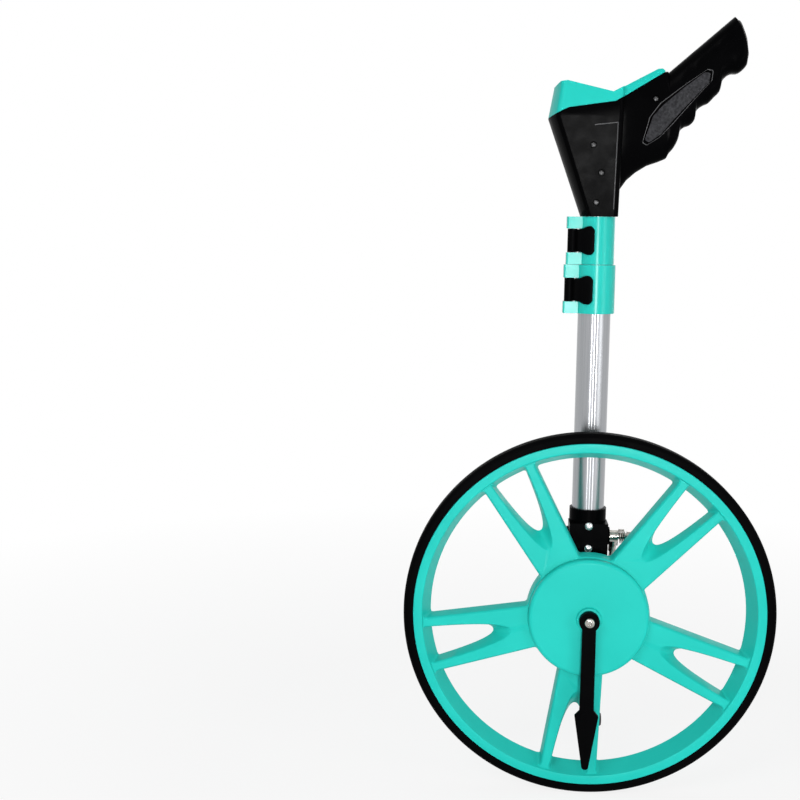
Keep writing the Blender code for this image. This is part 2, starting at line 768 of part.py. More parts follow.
def make_bearing(name, low, mats):
    inner = BEARING_BORE
    high = low + BEARING_WIDTH
    shield = BEARING_SHIELD
    third = (BEARING_RADIUS - inner) / 4
    profile = ((inner, low), (inner + third, low), (inner + third, low + shield), (BEARING_RADIUS - third, low + shield),
               (BEARING_RADIUS - third, low), (BEARING_RADIUS, low), (BEARING_RADIUS, high),
               (BEARING_RADIUS - third, high), (BEARING_RADIUS - third, high - shield),
               (inner + third, high - shield), (inner + third, high), (inner, high))
    return turned(name, profile, "Y", wheel_centre(), mats["steel"], SMALL_STEPS + 4)


def make_magnet_ring(mats):
    floor = WEB_FRONT + HUB_CORE_SKIN + GAP
    half = MAGNET_RING_WIDTH / 2
    return sleeve("counter_magnet_ring", MAGNET_CIRCLE - half, MAGNET_CIRCLE + half, floor, floor + MAGNET_LENGTH, "Y",
                  wheel_centre(), mats["steel"])


def make_wheel(mats):
    spin = pivot("wheel_pivot", wheel_centre())
    seat = (BARREL_FRONT + BARREL_BACK) / 2 - BEARING_WIDTH
    middle = (BARREL_BACK - BARREL_FRONT) / 2
    pieces = [
        make_tyre(mats),
        make_wheel_moulding(mats),
        make_hub_cap(mats),
        make_bearing("bearing_front", middle - seat - BEARING_WIDTH, mats),
        make_bearing("bearing_rear", middle + seat, mats),
        make_magnet_ring(mats),
    ]
    carry(spin, *pieces)


# Axle and pointer

def make_axle(mats):
    back = BRACKET_FRONT + BRACKET_THICKNESS - BRACKET_POCKET_DEPTH + WASHER_HEIGHT + NUT_HEIGHT + OVERRUN / 2
    shoulder = -POINTER_FACE + GAP
    axle = rod("axle", AXLE_RADIUS, shoulder, back, "Y", wheel_centre(), mats["steel"])
    stub = rod("axle_stub", AXLE_STUB_RADIUS, -SCREW_FACE + GAP, 0.0, "Y", wheel_centre(), None)
    hole = rod("axle_thread_hole", POINTER_SCREW_SHANK + GAP, -SCREW_FACE - OVERRUN, -SCREW_FACE + POINTER_SCREW_LENGTH + GAP,
               "Y", wheel_centre(), None, SMALL_STEPS)
    fuse(axle, stub)
    cut(axle, hole)
    return axle


def make_spacers(mats):
    sleeve("front_spacer", AXLE_RADIUS + GAP, COLLAR_RADIUS, -POINTER_FACE + GAP, -BARREL_FRONT - GAP, "Y",
           wheel_centre(), mats["steel"], SMALL_STEPS)
    sleeve("rear_spacer", AXLE_RADIUS + GAP, BARREL_BORE, BARREL_BACK + GAP, BRACKET_FRONT - GAP, "Y",
           wheel_centre(), mats["steel"], SMALL_STEPS + 4)


def make_axle_nut(mats):
    low = BRACKET_FRONT + BRACKET_THICKNESS - BRACKET_POCKET_DEPTH + GAP
    high = low + WASHER_HEIGHT
    sleeve("axle_washer", AXLE_RADIUS + GAP, WASHER_RADIUS, low, high, "Y", wheel_centre(), mats["steel"], SMALL_STEPS + 4)
    nut = prism("axle_nut", circle(NUT_RADIUS, 6), high + GAP, high + GAP + NUT_HEIGHT, "Y", mats["steel"],
                wheel_centre(), smooth=False)
    cut(nut, rod("nut_bore", AXLE_RADIUS + GAP, high - OVERRUN, high + NUT_HEIGHT + OVERRUN, "Y", wheel_centre(), None))


def pointer_outline():
    """The hanging arrow, seen from the front, with its pivot at the origin."""
    top = POINTER_ARM_TOP / 2
    bottom = POINTER_ARM_BOTTOM / 2
    wide = POINTER_HEAD_WIDTH / 2
    shoulder = -(POINTER_LENGTH - POINTER_HEAD_LENGTH)
    neck = shoulder + POINTER_HEAD_SLOPE
    tip = -POINTER_LENGTH
    corners = [(-top, 0.0), (-bottom, neck), (-wide, shoulder), (-POINTER_TIP_RADIUS, tip), (POINTER_TIP_RADIUS, tip),
               (wide, shoulder), (bottom, neck), (top, 0.0)]
    radii = [0.0, 0.0, POINTER_TIP_RADIUS / 2, POINTER_TIP_RADIUS, POINTER_TIP_RADIUS, POINTER_TIP_RADIUS / 2, 0.0, 0.0]
    return rounded(corners, radii, 3)


def make_pointer(mats):
    swing = pivot("pointer_pivot", wheel_centre())
    back = -POINTER_FACE
    front = back - POINTER_BOSS_LENGTH
    pointer = rod("pointer", POINTER_BOSS_RADIUS, front, back, "Y", wheel_centre(), mats["black"], ROUND_STEPS - 8)
    arm_front = back - POINTER_THICKNESS
    arm = prism("pointer_arm", pointer_outline(), arm_front, back - GAP, "Y", None, wheel_centre())
    bore = rod("pointer_bore", AXLE_STUB_RADIUS + GAP, front - OVERRUN, back + OVERRUN, "Y", wheel_centre(), None)
    fuse(pointer, arm)
    cut(pointer, bore)
    round_edges(pointer, POINTER_EDGE, 1, 60.0)
    carry(swing, pointer)


def make_pointer_screw(mats):
    seat = -SCREW_FACE
    head = rod("pointer_screw", POINTER_SCREW_HEAD, seat - POINTER_SCREW_HEIGHT, seat, "Y", wheel_centre(), mats["steel"])
    shank = rod("pointer_screw_shank", POINTER_SCREW_SHANK, seat - GAP, seat + POINTER_SCREW_LENGTH, "Y", wheel_centre(),
                None, SMALL_STEPS)
    socket = prism("pointer_screw_socket", circle(POINTER_SCREW_SOCKET, 6), seat - POINTER_SCREW_HEIGHT - OVERRUN,
                   seat - POINTER_SCREW_HEIGHT + POINTER_SCREW_SOCKET_DEPTH, "Y", None, wheel_centre())
    fuse(head, shank)
    cut(head, socket)


# Bracket and lower tube

def bracket_outline():
    """The flat tongue behind the hub, seen from the front: straight sides and a round foot."""
    half = BRACKET_HALF_WIDTH
    points = [(half, BRACKET_SHOULDER)]
    points.append((-half, BRACKET_SHOULDER))
    for step in range(SMALL_STEPS + 1):
        angle = math.pi + math.pi * step / SMALL_STEPS
        points.append((half * math.cos(angle), AXLE_HEIGHT + half * math.sin(angle)))
    return points


def bracket_pocket():
    """The hollow in the back of the tongue, which leaves walls and the axle's floor."""
    half = BRACKET_HALF_WIDTH - BRACKET_POCKET_INSET
    corners = [(half, LOWER_TUBE_FOOT - BRACKET_POCKET_FLOOR), (-half, LOWER_TUBE_FOOT - BRACKET_POCKET_FLOOR),
               (-half, AXLE_HEIGHT - half), (half, AXLE_HEIGHT - half)]
    outline = rounded(corners, [RIVET_HEAD] * 2 + [half - GAP] * 2, ARC_STEPS)
    back = BRACKET_FRONT + BRACKET_THICKNESS
    return prism("bracket_pocket", outline, back - BRACKET_POCKET_DEPTH, back + OVERRUN, "Y", None,
                 (0.0, ORIGIN_SHIFT, 0.0))


def rivet_holes(radius, name):
    return [rod("%s_%d" % (name, index + 1), radius, 0.0, TUBE_SET_BACK - BRACKET_RADIUS / 2, "Y",
                (0.0, ORIGIN_SHIFT, height), None, SMALL_STEPS)
            for index, height in enumerate(RIVET_HEIGHTS)]


def make_bracket(mats):
    tube = (0.0, TUBE_Y, 0.0)
    bracket = prism("bracket", bracket_outline(), BRACKET_FRONT, BRACKET_FRONT + BRACKET_THICKNESS, "Y", mats["black"],
                    (0.0, ORIGIN_SHIFT, 0.0))
    socket_foot = LOWER_TUBE_FOOT - BRACKET_POCKET_FLOOR / 2
    socket = rod("bracket_socket", BRACKET_RADIUS, socket_foot, BRACKET_TOP, "Z", tube, None, ROUND_STEPS)
    boss = rod("stand_boss", STAND_BOSS_RADIUS, -STAND_BOSS_LEFT, STAND_BOSS_RIGHT, "X",
               (0.0, STAND_Y, STAND_PIVOT_HEIGHT), None, SMALL_STEPS + 4)
    bore = rod("tube_bore", LOWER_TUBE_RADIUS + GAP, LOWER_TUBE_FOOT - GAP, BRACKET_TOP + OVERRUN, "Z", tube, None,
               ROUND_STEPS)
    axle_hole = rod("axle_hole", AXLE_RADIUS + GAP, BRACKET_FRONT - OVERRUN, BRACKET_FRONT + BRACKET_THICKNESS + OVERRUN,
                    "Y", wheel_centre(), None)
    bolt_hole = rod("bolt_hole", STAND_BOLT_RADIUS + GAP, -STAND_BOSS_LEFT - OVERRUN, STAND_BOSS_RIGHT + OVERRUN, "X",
                    (0.0, STAND_Y, STAND_PIVOT_HEIGHT), None)
    sensor_seat = box("sensor_seat", (-SENSOR_WIDTH / 2 - GAP, ORIGIN_SHIFT + BRACKET_FRONT - OVERRUN,
                                      AXLE_HEIGHT + MAGNET_CIRCLE - SENSOR_HEIGHT / 2 - GAP),
                      (SENSOR_WIDTH / 2 + GAP, ORIGIN_SHIFT + BRACKET_FRONT + SENSOR_DEPTH + GAP,
                       AXLE_HEIGHT + MAGNET_CIRCLE + SENSOR_HEIGHT / 2 + GAP), None)
    fuse(bracket, socket, boss)
    cut(bracket, bore, bracket_pocket(), axle_hole, bolt_hole, sensor_seat, *rivet_holes(RIVET_SHANK + GAP, "rivet_hole"))
    return bracket


def make_sensor(mats):
    low = AXLE_HEIGHT + MAGNET_CIRCLE - SENSOR_HEIGHT / 2
    return box("counter_sensor", (-SENSOR_WIDTH / 2, ORIGIN_SHIFT + BRACKET_FRONT + GAP, low),
               (SENSOR_WIDTH / 2, ORIGIN_SHIFT + BRACKET_FRONT + SENSOR_DEPTH, low + SENSOR_HEIGHT), mats["board"])


def make_rivets(mats):
    """Two domed rivets through the bracket's front and the tube's wall."""
    inside = TUBE_SET_BACK - LOWER_TUBE_RADIUS + TUBE_WALL + TUBE_FLUTE_DEPTH + GAP
    face = BRACKET_FRONT - GAP
    for index, height in enumerate(RIVET_HEIGHTS):
        centre = Vector((0.0, ORIGIN_SHIFT, height))
        rings = []
        for along, radius in ((face - RIVET_HEAD_HEIGHT, RIVET_HEAD / 3), (face - RIVET_HEAD_HEIGHT * 0.8, RIVET_HEAD * 0.65),
                              (face - RIVET_HEAD_HEIGHT / 3, RIVET_HEAD * 0.93), (face, RIVET_HEAD), (face, RIVET_SHANK),
                              (inside, RIVET_SHANK), (inside, RIVET_TAIL), (inside + RIVET_TAIL_HEIGHT, RIVET_TAIL)):
            rings.append([on_axis("Y", a, b, along, centre) for a, b in circle(radius, SMALL_STEPS)])
        loft("bracket_rivet_%d" % (index + 1), rings, mats["steel"])


def make_tube(name, radius, foot, top, flute_half, mats):
    outer = tube_outline(radius, flute_half, TUBE_FLUTE_DEPTH)
    inner = tube_outline(radius - TUBE_WALL, flute_half + TUBE_WALL * 0.4, TUBE_FLUTE_DEPTH)
    tube = prism(name, outer, foot, top, "Z", mats["tube"], (0.0, TUBE_Y, 0.0))
    cut(tube, prism(name + "_bore", inner, foot - OVERRUN, top + OVERRUN, "Z", None, (0.0, TUBE_Y, 0.0)))
    return tube


def make_lower_tube(mats):
    top = LOWER_CLAMP_BASE + CLAMP_HEIGHT / 2
    tube = make_tube("lower_tube", LOWER_TUBE_RADIUS, LOWER_TUBE_FOOT, top, TUBE_FLUTE_HALF, mats)
    cut(tube, *rivet_holes(RIVET_SHANK + GAP, "tube_rivet_hole"))
    cut(tube, rod("tube_bolt_hole", STAND_BOLT_RADIUS + GAP, -BRACKET_RADIUS, BRACKET_RADIUS, "X",
                  (0.0, STAND_Y, STAND_PIVOT_HEIGHT), None))
    return tube


# Clamps

def clamp_pin_place(collar):
    return (-collar - CLAMP_PIN_REACH, TUBE_Y - CLAMP_PIN_FORWARD)


def make_clamp(name, collar, base, lower_radius, upper_radius, mats):
    """A split collar that grips two tubes, with an ear above and below its lever."""
    top = base + CLAMP_HEIGHT
    middle = base + CLAMP_HEIGHT / 2
    centre = (0.0, TUBE_Y, 0.0)
    pin_x, pin_y = clamp_pin_place(collar)
    body = rod(name, collar, base, top, "Z", centre, mats["teal"], ROUND_STEPS)
    head_seat = rod(name + "_pin_head_seat", CLAMP_PIN_HEAD + GAP, top - CLAMP_PIN_HEAD_HEIGHT - GAP, top + OVERRUN, "Z",
                    (pin_x, pin_y, 0.0), None)
    back = pin_y + EAR_DEPTH + EAR_BACK
    corners = [(pin_x - EAR_LENGTH, pin_y - EAR_DEPTH), (0.0, pin_y - EAR_DEPTH), (0.0, back), (pin_x - EAR_LENGTH, back)]
    outline = rounded(corners, [EAR_EDGE, 0.0, 0.0, EAR_EDGE], 2)
    fuse(body, prism(name + "_ear_low", outline, base, base + EAR_HEIGHT, "Z", None))
    fuse(body, prism(name + "_ear_high", outline, top - EAR_HEIGHT, top, "Z", None))
    cut(body, rod(name + "_bore_low", lower_radius + GAP, base - OVERRUN, middle + GAP, "Z", centre, None, ROUND_STEPS))
    cut(body, rod(name + "_bore_high", upper_radius + GAP, middle - OVERRUN, top + OVERRUN, "Z", centre, None, ROUND_STEPS))
    split = box(name + "_split", (pin_x - EAR_LENGTH - OVERRUN, pin_y + EAR_DEPTH - COLLAR_SPLIT, base - OVERRUN),
                (-lower_radius / 2, pin_y + EAR_DEPTH, top + OVERRUN), None)
    pin_hole = rod(name + "_pin_hole", CLAMP_PIN_RADIUS + GAP, base - OVERRUN, top + OVERRUN, "Z", (pin_x, pin_y, 0.0), None)
    cut(body, split, pin_hole, head_seat)
    return body


def make_clamp_pin(name, collar, base, mats):
    pin_x, pin_y = clamp_pin_place(collar)
    top = base + CLAMP_HEIGHT
    rings = []
    seat = top - CLAMP_PIN_HEAD_HEIGHT
    for along, radius in ((base, CLAMP_PIN_RADIUS), (seat, CLAMP_PIN_RADIUS), (seat, CLAMP_PIN_HEAD),
                          (top - GAP, CLAMP_PIN_HEAD), (top, CLAMP_PIN_HEAD - GAP)):
        rings.append([on_axis("Z", a, b, along, (pin_x, pin_y, 0.0)) for a, b in circle(radius, SMALL_STEPS)])
    return loft(name, rings, mats["steel"])


def lever_plate(name, collar, base):
    """The curved thumb plate: it hugs the collar and flares towards its free end."""
    pin_x, pin_y = clamp_pin_place(collar)
    inner = collar + LEVER_CLEAR
    outer = inner + LEVER_THICKNESS
    start = math.degrees(math.atan2(pin_y - TUBE_Y, pin_x))
    start = start % 360.0 - 360.0 + LEVER_START_TURN
    middle = base + CLAMP_HEIGHT / 2
    half = CLAMP_HEIGHT / 2 - EAR_HEIGHT - LEVER_CLEAR
    rings = []
    for step in range(LEVER_STEPS + 1):
        share = step / LEVER_STEPS
        angle = math.radians(start + (LEVER_END_ANGLE - start) * share)
        high = half + LEVER_FLARE * lever_flare_share(share)
        thick = outer - LEVER_THICKNESS * 0.45 * share ** 2
        ring = []
        for radius, along in ((inner, -high), (thick, -high + EAR_EDGE), (thick, high - EAR_EDGE), (inner, high)):
            ring.append(Vector((radius * math.cos(angle), TUBE_Y + radius * math.sin(angle), middle + along)))
        rings.append(ring)
    return loft(name, rings, None)


def lever_flare_share(share):
    """0 beside the knuckle, 1 at the thumb pad, drawn in again at the very end."""
    swell = 0.5 - 0.5 * math.cos(math.pi * min(max(share - 0.3, 0.0) / 0.45, 1.0))
    fade = max(share - 0.8, 0.0) / 0.2
    return swell - 1.3 * fade ** 2


def make_lever(name, collar, base, mats):
    pin_x, pin_y = clamp_pin_place(collar)
    swing = pivot(name + "_pivot", (pin_x, pin_y, base + CLAMP_HEIGHT / 2))
    low = base + EAR_HEIGHT + LEVER_CLEAR
    high = base + CLAMP_HEIGHT - EAR_HEIGHT - LEVER_CLEAR
    lever = rod(name, LEVER_KNUCKLE, low, high, "Z", (pin_x, pin_y, 0.0), mats["black"], SMALL_STEPS + 4)
    fuse(lever, lever_plate(name + "_plate", collar, base))
    cut(lever, rod(name + "_bore", CLAMP_PIN_RADIUS + GAP, low - OVERRUN, high + OVERRUN, "Z", (pin_x, pin_y, 0.0), None))
    carry(swing, lever)


# Stand

def stand_direction():
    return (FOOT_POINT - STAND_POINT).normalized()


def make_stand_bolt(mats):
    centre = (0.0, STAND_Y, STAND_PIVOT_HEIGHT)
    head = -STAND_BOSS_LEFT - GAP
    end = STAND_BOSS_RIGHT + GAP * 4 + KNUCKLE_LENGTH + SPRING_PITCH * (SPRING_TURNS + 1) + STAND_NUT_HEIGHT + OVERRUN / 2
    rings = []
    for along, radius in ((head - STAND_BOLT_HEAD_HEIGHT, STAND_BOLT_HEAD * 0.6), (head - STAND_BOLT_HEAD_HEIGHT * 0.4,
                          STAND_BOLT_HEAD), (head, STAND_BOLT_HEAD), (head, STAND_BOLT_RADIUS), (end, STAND_BOLT_RADIUS)):
        rings.append([on_axis("X", a, b, along, centre) for a, b in circle(radius, SMALL_STEPS)])
    loft("stand_bolt", rings, mats["steel"])
    nut_low = end - OVERRUN / 2 - STAND_NUT_HEIGHT
    nut = prism("stand_nut", circle(STAND_NUT_RADIUS, 6), nut_low, nut_low + STAND_NUT_HEIGHT, "X", mats["steel"], centre,
                smooth=False)
    cut(nut, rod("stand_nut_bore", STAND_BOLT_RADIUS + GAP, nut_low - OVERRUN, nut_low + STAND_NUT_HEIGHT + OVERRUN, "X",
                 centre, None))


def make_stand_spring(mats):
    """A torsion spring round the bolt, its tail lying along the stand's leg."""
    start = STAND_BOSS_RIGHT + GAP * 3 + KNUCKLE_LENGTH + SPRING_WIRE
    points = []
    per_turn = 10
    direction = stand_direction()
    first = math.atan2(direction.z, direction.y) + math.pi / 2.0
    for step in range(SPRING_TURNS * per_turn + 1):
        angle = first + 2.0 * math.pi * step / per_turn
        points.append(Vector((start + SPRING_PITCH * step / per_turn,
                              STAND_Y + SPRING_RADIUS * math.cos(angle),
                              STAND_PIVOT_HEIGHT + SPRING_RADIUS * math.sin(angle))))
    for share in (0.12, 0.5, 1.0):
        points.insert(0, points[0] + direction * SPRING_TAIL * share - Vector((GAP * share, 0.0, 0.0)))
        points[0].x = start
    return swept("stand_spring", points, SPRING_WIRE, 6, mats["steel"])


def make_stand(mats):
    swing = pivot("stand_pivot", STAND_POINT)
    along = stand_direction()
    low = STAND_BOSS_RIGHT + GAP
    centre = (0.0, STAND_Y, STAND_PIVOT_HEIGHT)
    knuckle = rod("stand_knuckle", KNUCKLE_RADIUS, low, low + KNUCKLE_LENGTH, "X", centre, mats["black"], SMALL_STEPS + 4)
    socket_end = STAND_POINT + along * (KNUCKLE_RADIUS + KNUCKLE_SOCKET_LENGTH)
    fuse(knuckle, bar("knuckle_socket", STAND_POINT, socket_end, KNUCKLE_SOCKET_RADIUS, None))
    rod_start = STAND_POINT + along * (KNUCKLE_RADIUS + GAP)
    cut(knuckle, bar("knuckle_socket_bore", rod_start - along * GAP, socket_end + along * OVERRUN, STAND_ROD_RADIUS + GAP,
                     None))
    cut(knuckle, rod("knuckle_bore", STAND_BOLT_RADIUS + GAP, low - OVERRUN, low + KNUCKLE_LENGTH + OVERRUN, "X", centre,
                     None))
    sleeve_top = FOOT_POINT - along * STAND_SLEEVE_LENGTH
    rod_end = FOOT_POINT - along * (FOOT_BAR_RADIUS + GAP * 4)
    leg = bar("stand_rod", rod_start, rod_end, STAND_ROD_RADIUS, mats["steel"])
    sleeve_end = FOOT_POINT + along * STAND_SLEEVE_RADIUS
    cover = bar("stand_sleeve", sleeve_top, sleeve_end, STAND_SLEEVE_RADIUS, mats["sleeve"], SMALL_STEPS, False, True)
    foot_hole = rod("foot_hole", FOOT_BAR_RADIUS + GAP, STAND_X - STAND_SLEEVE_RADIUS - OVERRUN,
                    STAND_X + STAND_SLEEVE_RADIUS + OVERRUN, "X", (0.0, FOOT_POINT.y, FOOT_POINT.z), None)
    cut(cover, bar("sleeve_bore", sleeve_top - along * OVERRUN, rod_end + along * GAP, STAND_ROD_RADIUS + GAP, None),
        foot_hole)
    foot = rod("stand_foot_bar", FOOT_BAR_RADIUS, -FOOT_BAR_HALF + GAP, FOOT_BAR_HALF - GAP, "X",
               (0.0, FOOT_POINT.y, FOOT_POINT.z), mats["black"])
    tips = make_foot_tips(mats)
    carry(swing, knuckle, leg, cover, foot, *tips)


def make_foot_tips(mats):
    pieces = []
    for sign in (-1.0, 1.0):
        closed = sign * (FOOT_BAR_HALF + FOOT_TIP_LENGTH - FOOT_TIP_COVER)
        floor = sign * FOOT_BAR_HALF
        mouth = sign * (FOOT_BAR_HALF - FOOT_TIP_COVER)
        rings = []
        inner = FOOT_BAR_RADIUS + GAP
        edge = FOOT_TIP_RADIUS - EAR_EDGE
        for place, radius in ((floor, inner), (mouth, inner), (mouth, edge), (mouth + sign * EAR_EDGE, FOOT_TIP_RADIUS),
                              (closed - sign * EAR_EDGE, FOOT_TIP_RADIUS), (closed, edge)):
            rings.append([on_axis("X", a, b, place, (0.0, FOOT_POINT.y, FOOT_POINT.z))
                          for a, b in circle(radius, SMALL_STEPS)])
        pieces.append(loft("stand_foot_tip_%s" % ("right" if sign > 0.0 else "left"), rings, mats["rubber"]))
    return pieces


# Head

def head_point(shares):
    return (shares[0] * HEAD_LENGTH, HEAD_BASE + shares[1] * HEAD_HEIGHT)


def pod_section(left, right, half, bow, height, inset):
    """One level outline: a curved bow at the left, flat sides and a square right end."""
    low = left + inset
    high = right - inset
    deep = half - inset
    radius = (deep ** 2 + bow ** 2) / (2.0 * bow)
    spread = math.asin(min(deep / radius, 1.0))
    corners = [(low + bow, -deep), (high, -deep), (high, deep), (low + bow, deep)]
    for step in range(1, BOW_STEPS):
        angle = spread - 2.0 * spread * step / BOW_STEPS
        corners.append((low + radius - radius * math.cos(angle), radius * math.sin(angle)))
    firm = max(POD_RIGHT_ROUND - inset, GAP)
    outline = rounded(corners, [0.0, firm, firm] + [0.0] * BOW_STEPS, ARC_STEPS)
    return [on_axis("Z", a, b, HEAD_BASE + height, (0.0, TUBE_Y, 0.0)) for a, b in outline]


def pod_loft(name, mat, inset=0.0, foot=0.0):
    """The display pod: a narrow neck that swells to a wide top."""
    share = foot / POD_SEAM_HEIGHT
    foot_left = NECK_LEFT + (HEAD_LEFT - NECK_LEFT) * share
    foot_half = NECK_HALF_WIDTH + (POD_HALF_WIDTH - NECK_HALF_WIDTH) * share
    foot_bow = NECK_BOW + (POD_BOW - NECK_BOW) * share
    foot_right = NECK_RIGHT + (POD_RIGHT - NECK_RIGHT) * share
    rings = [
        pod_section(foot_left, foot_right, foot_half, foot_bow, foot, inset),
        pod_section(HEAD_LEFT, POD_RIGHT, POD_HALF_WIDTH, POD_BOW, POD_SEAM_HEIGHT, inset),
        pod_section(POD_SHOULDER_LEFT, POD_RIGHT, POD_TOP_HALF_WIDTH, POD_BOW, POD_SHOULDER_HEIGHT, inset),
        pod_section(POD_SHOULDER_LEFT, POD_RIGHT, POD_TOP_HALF_WIDTH, POD_BOW, POD_CLOSE_HEIGHT, inset),
    ]
    return loft(name, rings, mat)


def handle_sections():
    """Top point, bottom point and half widths of each section from the pod to the grip's end."""
    bottoms = [Vector(head_point(shares)) for shares in UNDERSIDE_SHARES]
    start = Vector(head_point(TOP_START_SHARES))
    cover = Vector(head_point(TOP_COVER_SHARES))
    grip = Vector(head_point(TOP_GRIP_SHARES))
    end = Vector(head_point(TOP_END_SHARES))
    blend = len(WIDTH_TOP_SHARES)
    rounding = len(END_WIDTH_SHARES) - 1
    last = len(bottoms) - 1 - rounding
    along = (end - grip).normalized()
    first_reach = (bottoms[blend] - grip).dot(along)
    last_reach = (bottoms[last] - grip).dot(along)
    sections = []
    for index, bottom in enumerate(bottoms):
        high = low = GRIP_HALF_WIDTH
        if index < blend:
            top = start.lerp(cover, index / (blend - 1))
            high = GRIP_HALF_WIDTH * WIDTH_TOP_SHARES[index]
            low = GRIP_HALF_WIDTH * WIDTH_BOTTOM_SHARES[index]
        elif index <= last:
            share = ((bottom - grip).dot(along) - first_reach) / (last_reach - first_reach)
            share = max(min(share, 1.0), 0.0)
            top = grip.lerp(end, share)
        else:
            top = end + along * POINTER_SCREW_HEIGHT * (index - last) / rounding
            top = top.lerp(bottom, 0.09 * (index - last))
            high = low = GRIP_HALF_WIDTH * END_WIDTH_SHARES[index - last]
        sections.append((top, bottom, high, low))
    return sections


def handle_loft(name, mat, inset=0.0, corners=SMALL_STEPS):
    """The grip with its finger grooves: squarish rounded sections from the pod to the end."""
    rings = []
    power = 2.0 / GRIP_SQUARENESS
    for top, bottom, high, low in handle_sections():
        middle = (top + bottom) / 2.0
        reach = (top - bottom) / 2.0
        size = (reach.length - inset) / reach.length
        ring = []
        for step in range(corners):
            angle = 2.0 * math.pi * (step + 0.5) / corners
            rise = math.copysign(abs(math.cos(angle)) ** power, math.cos(angle))
            side = math.copysign(abs(math.sin(angle)) ** power, math.sin(angle))
            width = (low + (high - low) * (rise + 1.0) / 2.0 - inset) * side
            place = middle + reach * size * rise
            ring.append(Vector((place.x, TUBE_Y + width, place.y)))
        rings.append(ring)
    return loft(name, rings, mat)


def below_seam(name):
    """Everything below the seam, which the black body's space takes from the cover."""
    seam = [head_point(shares) for shares in SEAM_SHARES]
    low = HEAD_BASE - OVERRUN
    outline = [(seam[0][0], low), (HEAD_LENGTH, low), (HEAD_LENGTH, seam[-1][1])]
    outline += [(x, z + GAP) for x, z in reversed(seam)]
    return prism(name, outline, -POD_HALF_WIDTH - OVERRUN, POD_HALF_WIDTH + OVERRUN, "Y", None, (0.0, TUBE_Y, 0.0))


def above_crest(name):
    """Everything above the cover's two top slopes and past its right-hand edge."""
    crest = [head_point(shares) for shares in CREST_SHARES]
    corner = head_point(SEAM_SHARES[-2])
    side = head_point(SEAM_SHARES[-1])
    top = HEAD_BASE + HEAD_HEIGHT + OVERRUN
    outline = [(corner[0], corner[1]), (HEAD_LENGTH, side[1] - HEAD_WALL * 3), (HEAD_LENGTH, top), (crest[-1][0], top)]
    outline += reversed(crest)
    return prism(name, outline, -POD_HALF_WIDTH - OVERRUN, POD_HALF_WIDTH + OVERRUN, "Y", None, (0.0, TUBE_Y, 0.0))


def above_seam(name):
    """Everything above the seam, which the cover's space takes from the black body."""
    seam = [head_point(shares) for shares in SEAM_SHARES[:-1]]
    end = head_point(TOP_GRIP_SHARES)
    top = HEAD_BASE + POD_CLOSE_HEIGHT + OVERRUN
    outline = seam + [(end[0], end[1] + GAP), (end[0], top), (seam[0][0], top)]
    return prism(name, outline, -POD_HALF_WIDTH - OVERRUN, POD_HALF_WIDTH + OVERRUN, "Y", None, (0.0, TUBE_Y, 0.0))


def half_space(name, front):
    """A block that holds the front or the rear half of the head."""
    near = TUBE_Y - GAP / 2 if front else TUBE_Y + GAP / 2
    far = TUBE_Y - POD_HALF_WIDTH - OVERRUN if front else TUBE_Y + POD_HALF_WIDTH + OVERRUN
    low = (-HEAD_LENGTH, min(near, far), HEAD_BASE - OVERRUN)
    high = (HEAD_LENGTH, max(near, far), HEAD_BASE + HEAD_HEIGHT + POD_CLOSE_HEIGHT)
    return box(name, low, high, None)


def door_box(name, grow):
    """The battery door's outline, from the middle of the room to outside the rear wall."""
    centre_x = HEAD_LEFT / 4
    centre_z = HEAD_BASE + BATTERY_HEIGHT - BATTERY_RADIUS / 2
    low = (centre_x - DOOR_LENGTH / 2 - grow, TUBE_Y + POD_HALF_WIDTH / 2, centre_z - DOOR_HEIGHT / 2 - grow)
    high = (centre_x + DOOR_LENGTH / 2 + grow, TUBE_Y + POD_HALF_WIDTH + OVERRUN, centre_z + DOOR_HEIGHT / 2 + grow)
    return box(name, low, high, None)


def make_battery_door(mats):
    door = door_box("battery_door", 0.0)
    door.data.materials.append(mats["black"])
    keep_inside(door, pod_loft("battery_door_skin", None))
    cut(door, pod_loft("battery_door_floor", None, DOOR_THICKNESS))
    return door


def head_cavity(name):
    """The room inside the pod for the display, the boards and the cells."""
    room = pod_loft(name, None, HEAD_WALL, CAVITY_FLOOR)
    fuse(room, handle_room(name + "_neck"))
    keep_inside(room, cavity_limit(name + "_limit"))
    return room


def handle_room(name):
    """The pod's room carried on under the buttons."""
    low = head_point((0.0, 0.36))
    right = head_point((0.255, 0.36))
    top = HEAD_BASE + POD_CLOSE_HEIGHT
    outline = ((low[0], low[1]), (right[0] - HEAD_WALL * 4, low[1]), (right[0], head_point((0.0, 0.62))[1]), (right[0], top),
               (low[0], top))
    half = GRIP_HALF_WIDTH - HEAD_WALL * 1.5
    return prism(name, outline, -half, half, "Y", None, (0.0, TUBE_Y, 0.0))


def cavity_limit(name):
    """A slab below the crest line, less the skin's thickness."""
    crest = [head_point(shares) for shares in CREST_SHARES[2:]]
    floor = HEAD_BASE + CAVITY_FLOOR - OVERRUN
    skin = HEAD_WALL * 1.1
    first = (crest[0][0], crest[0][1] - skin)
    outline = [(crest[-1][0], floor), (first[0], floor)] + [(x, z - skin) for x, z in crest]
    return prism(name, outline, -POD_HALF_WIDTH - OVERRUN, POD_HALF_WIDTH + OVERRUN, "Y", None, (0.0, TUBE_Y, 0.0))


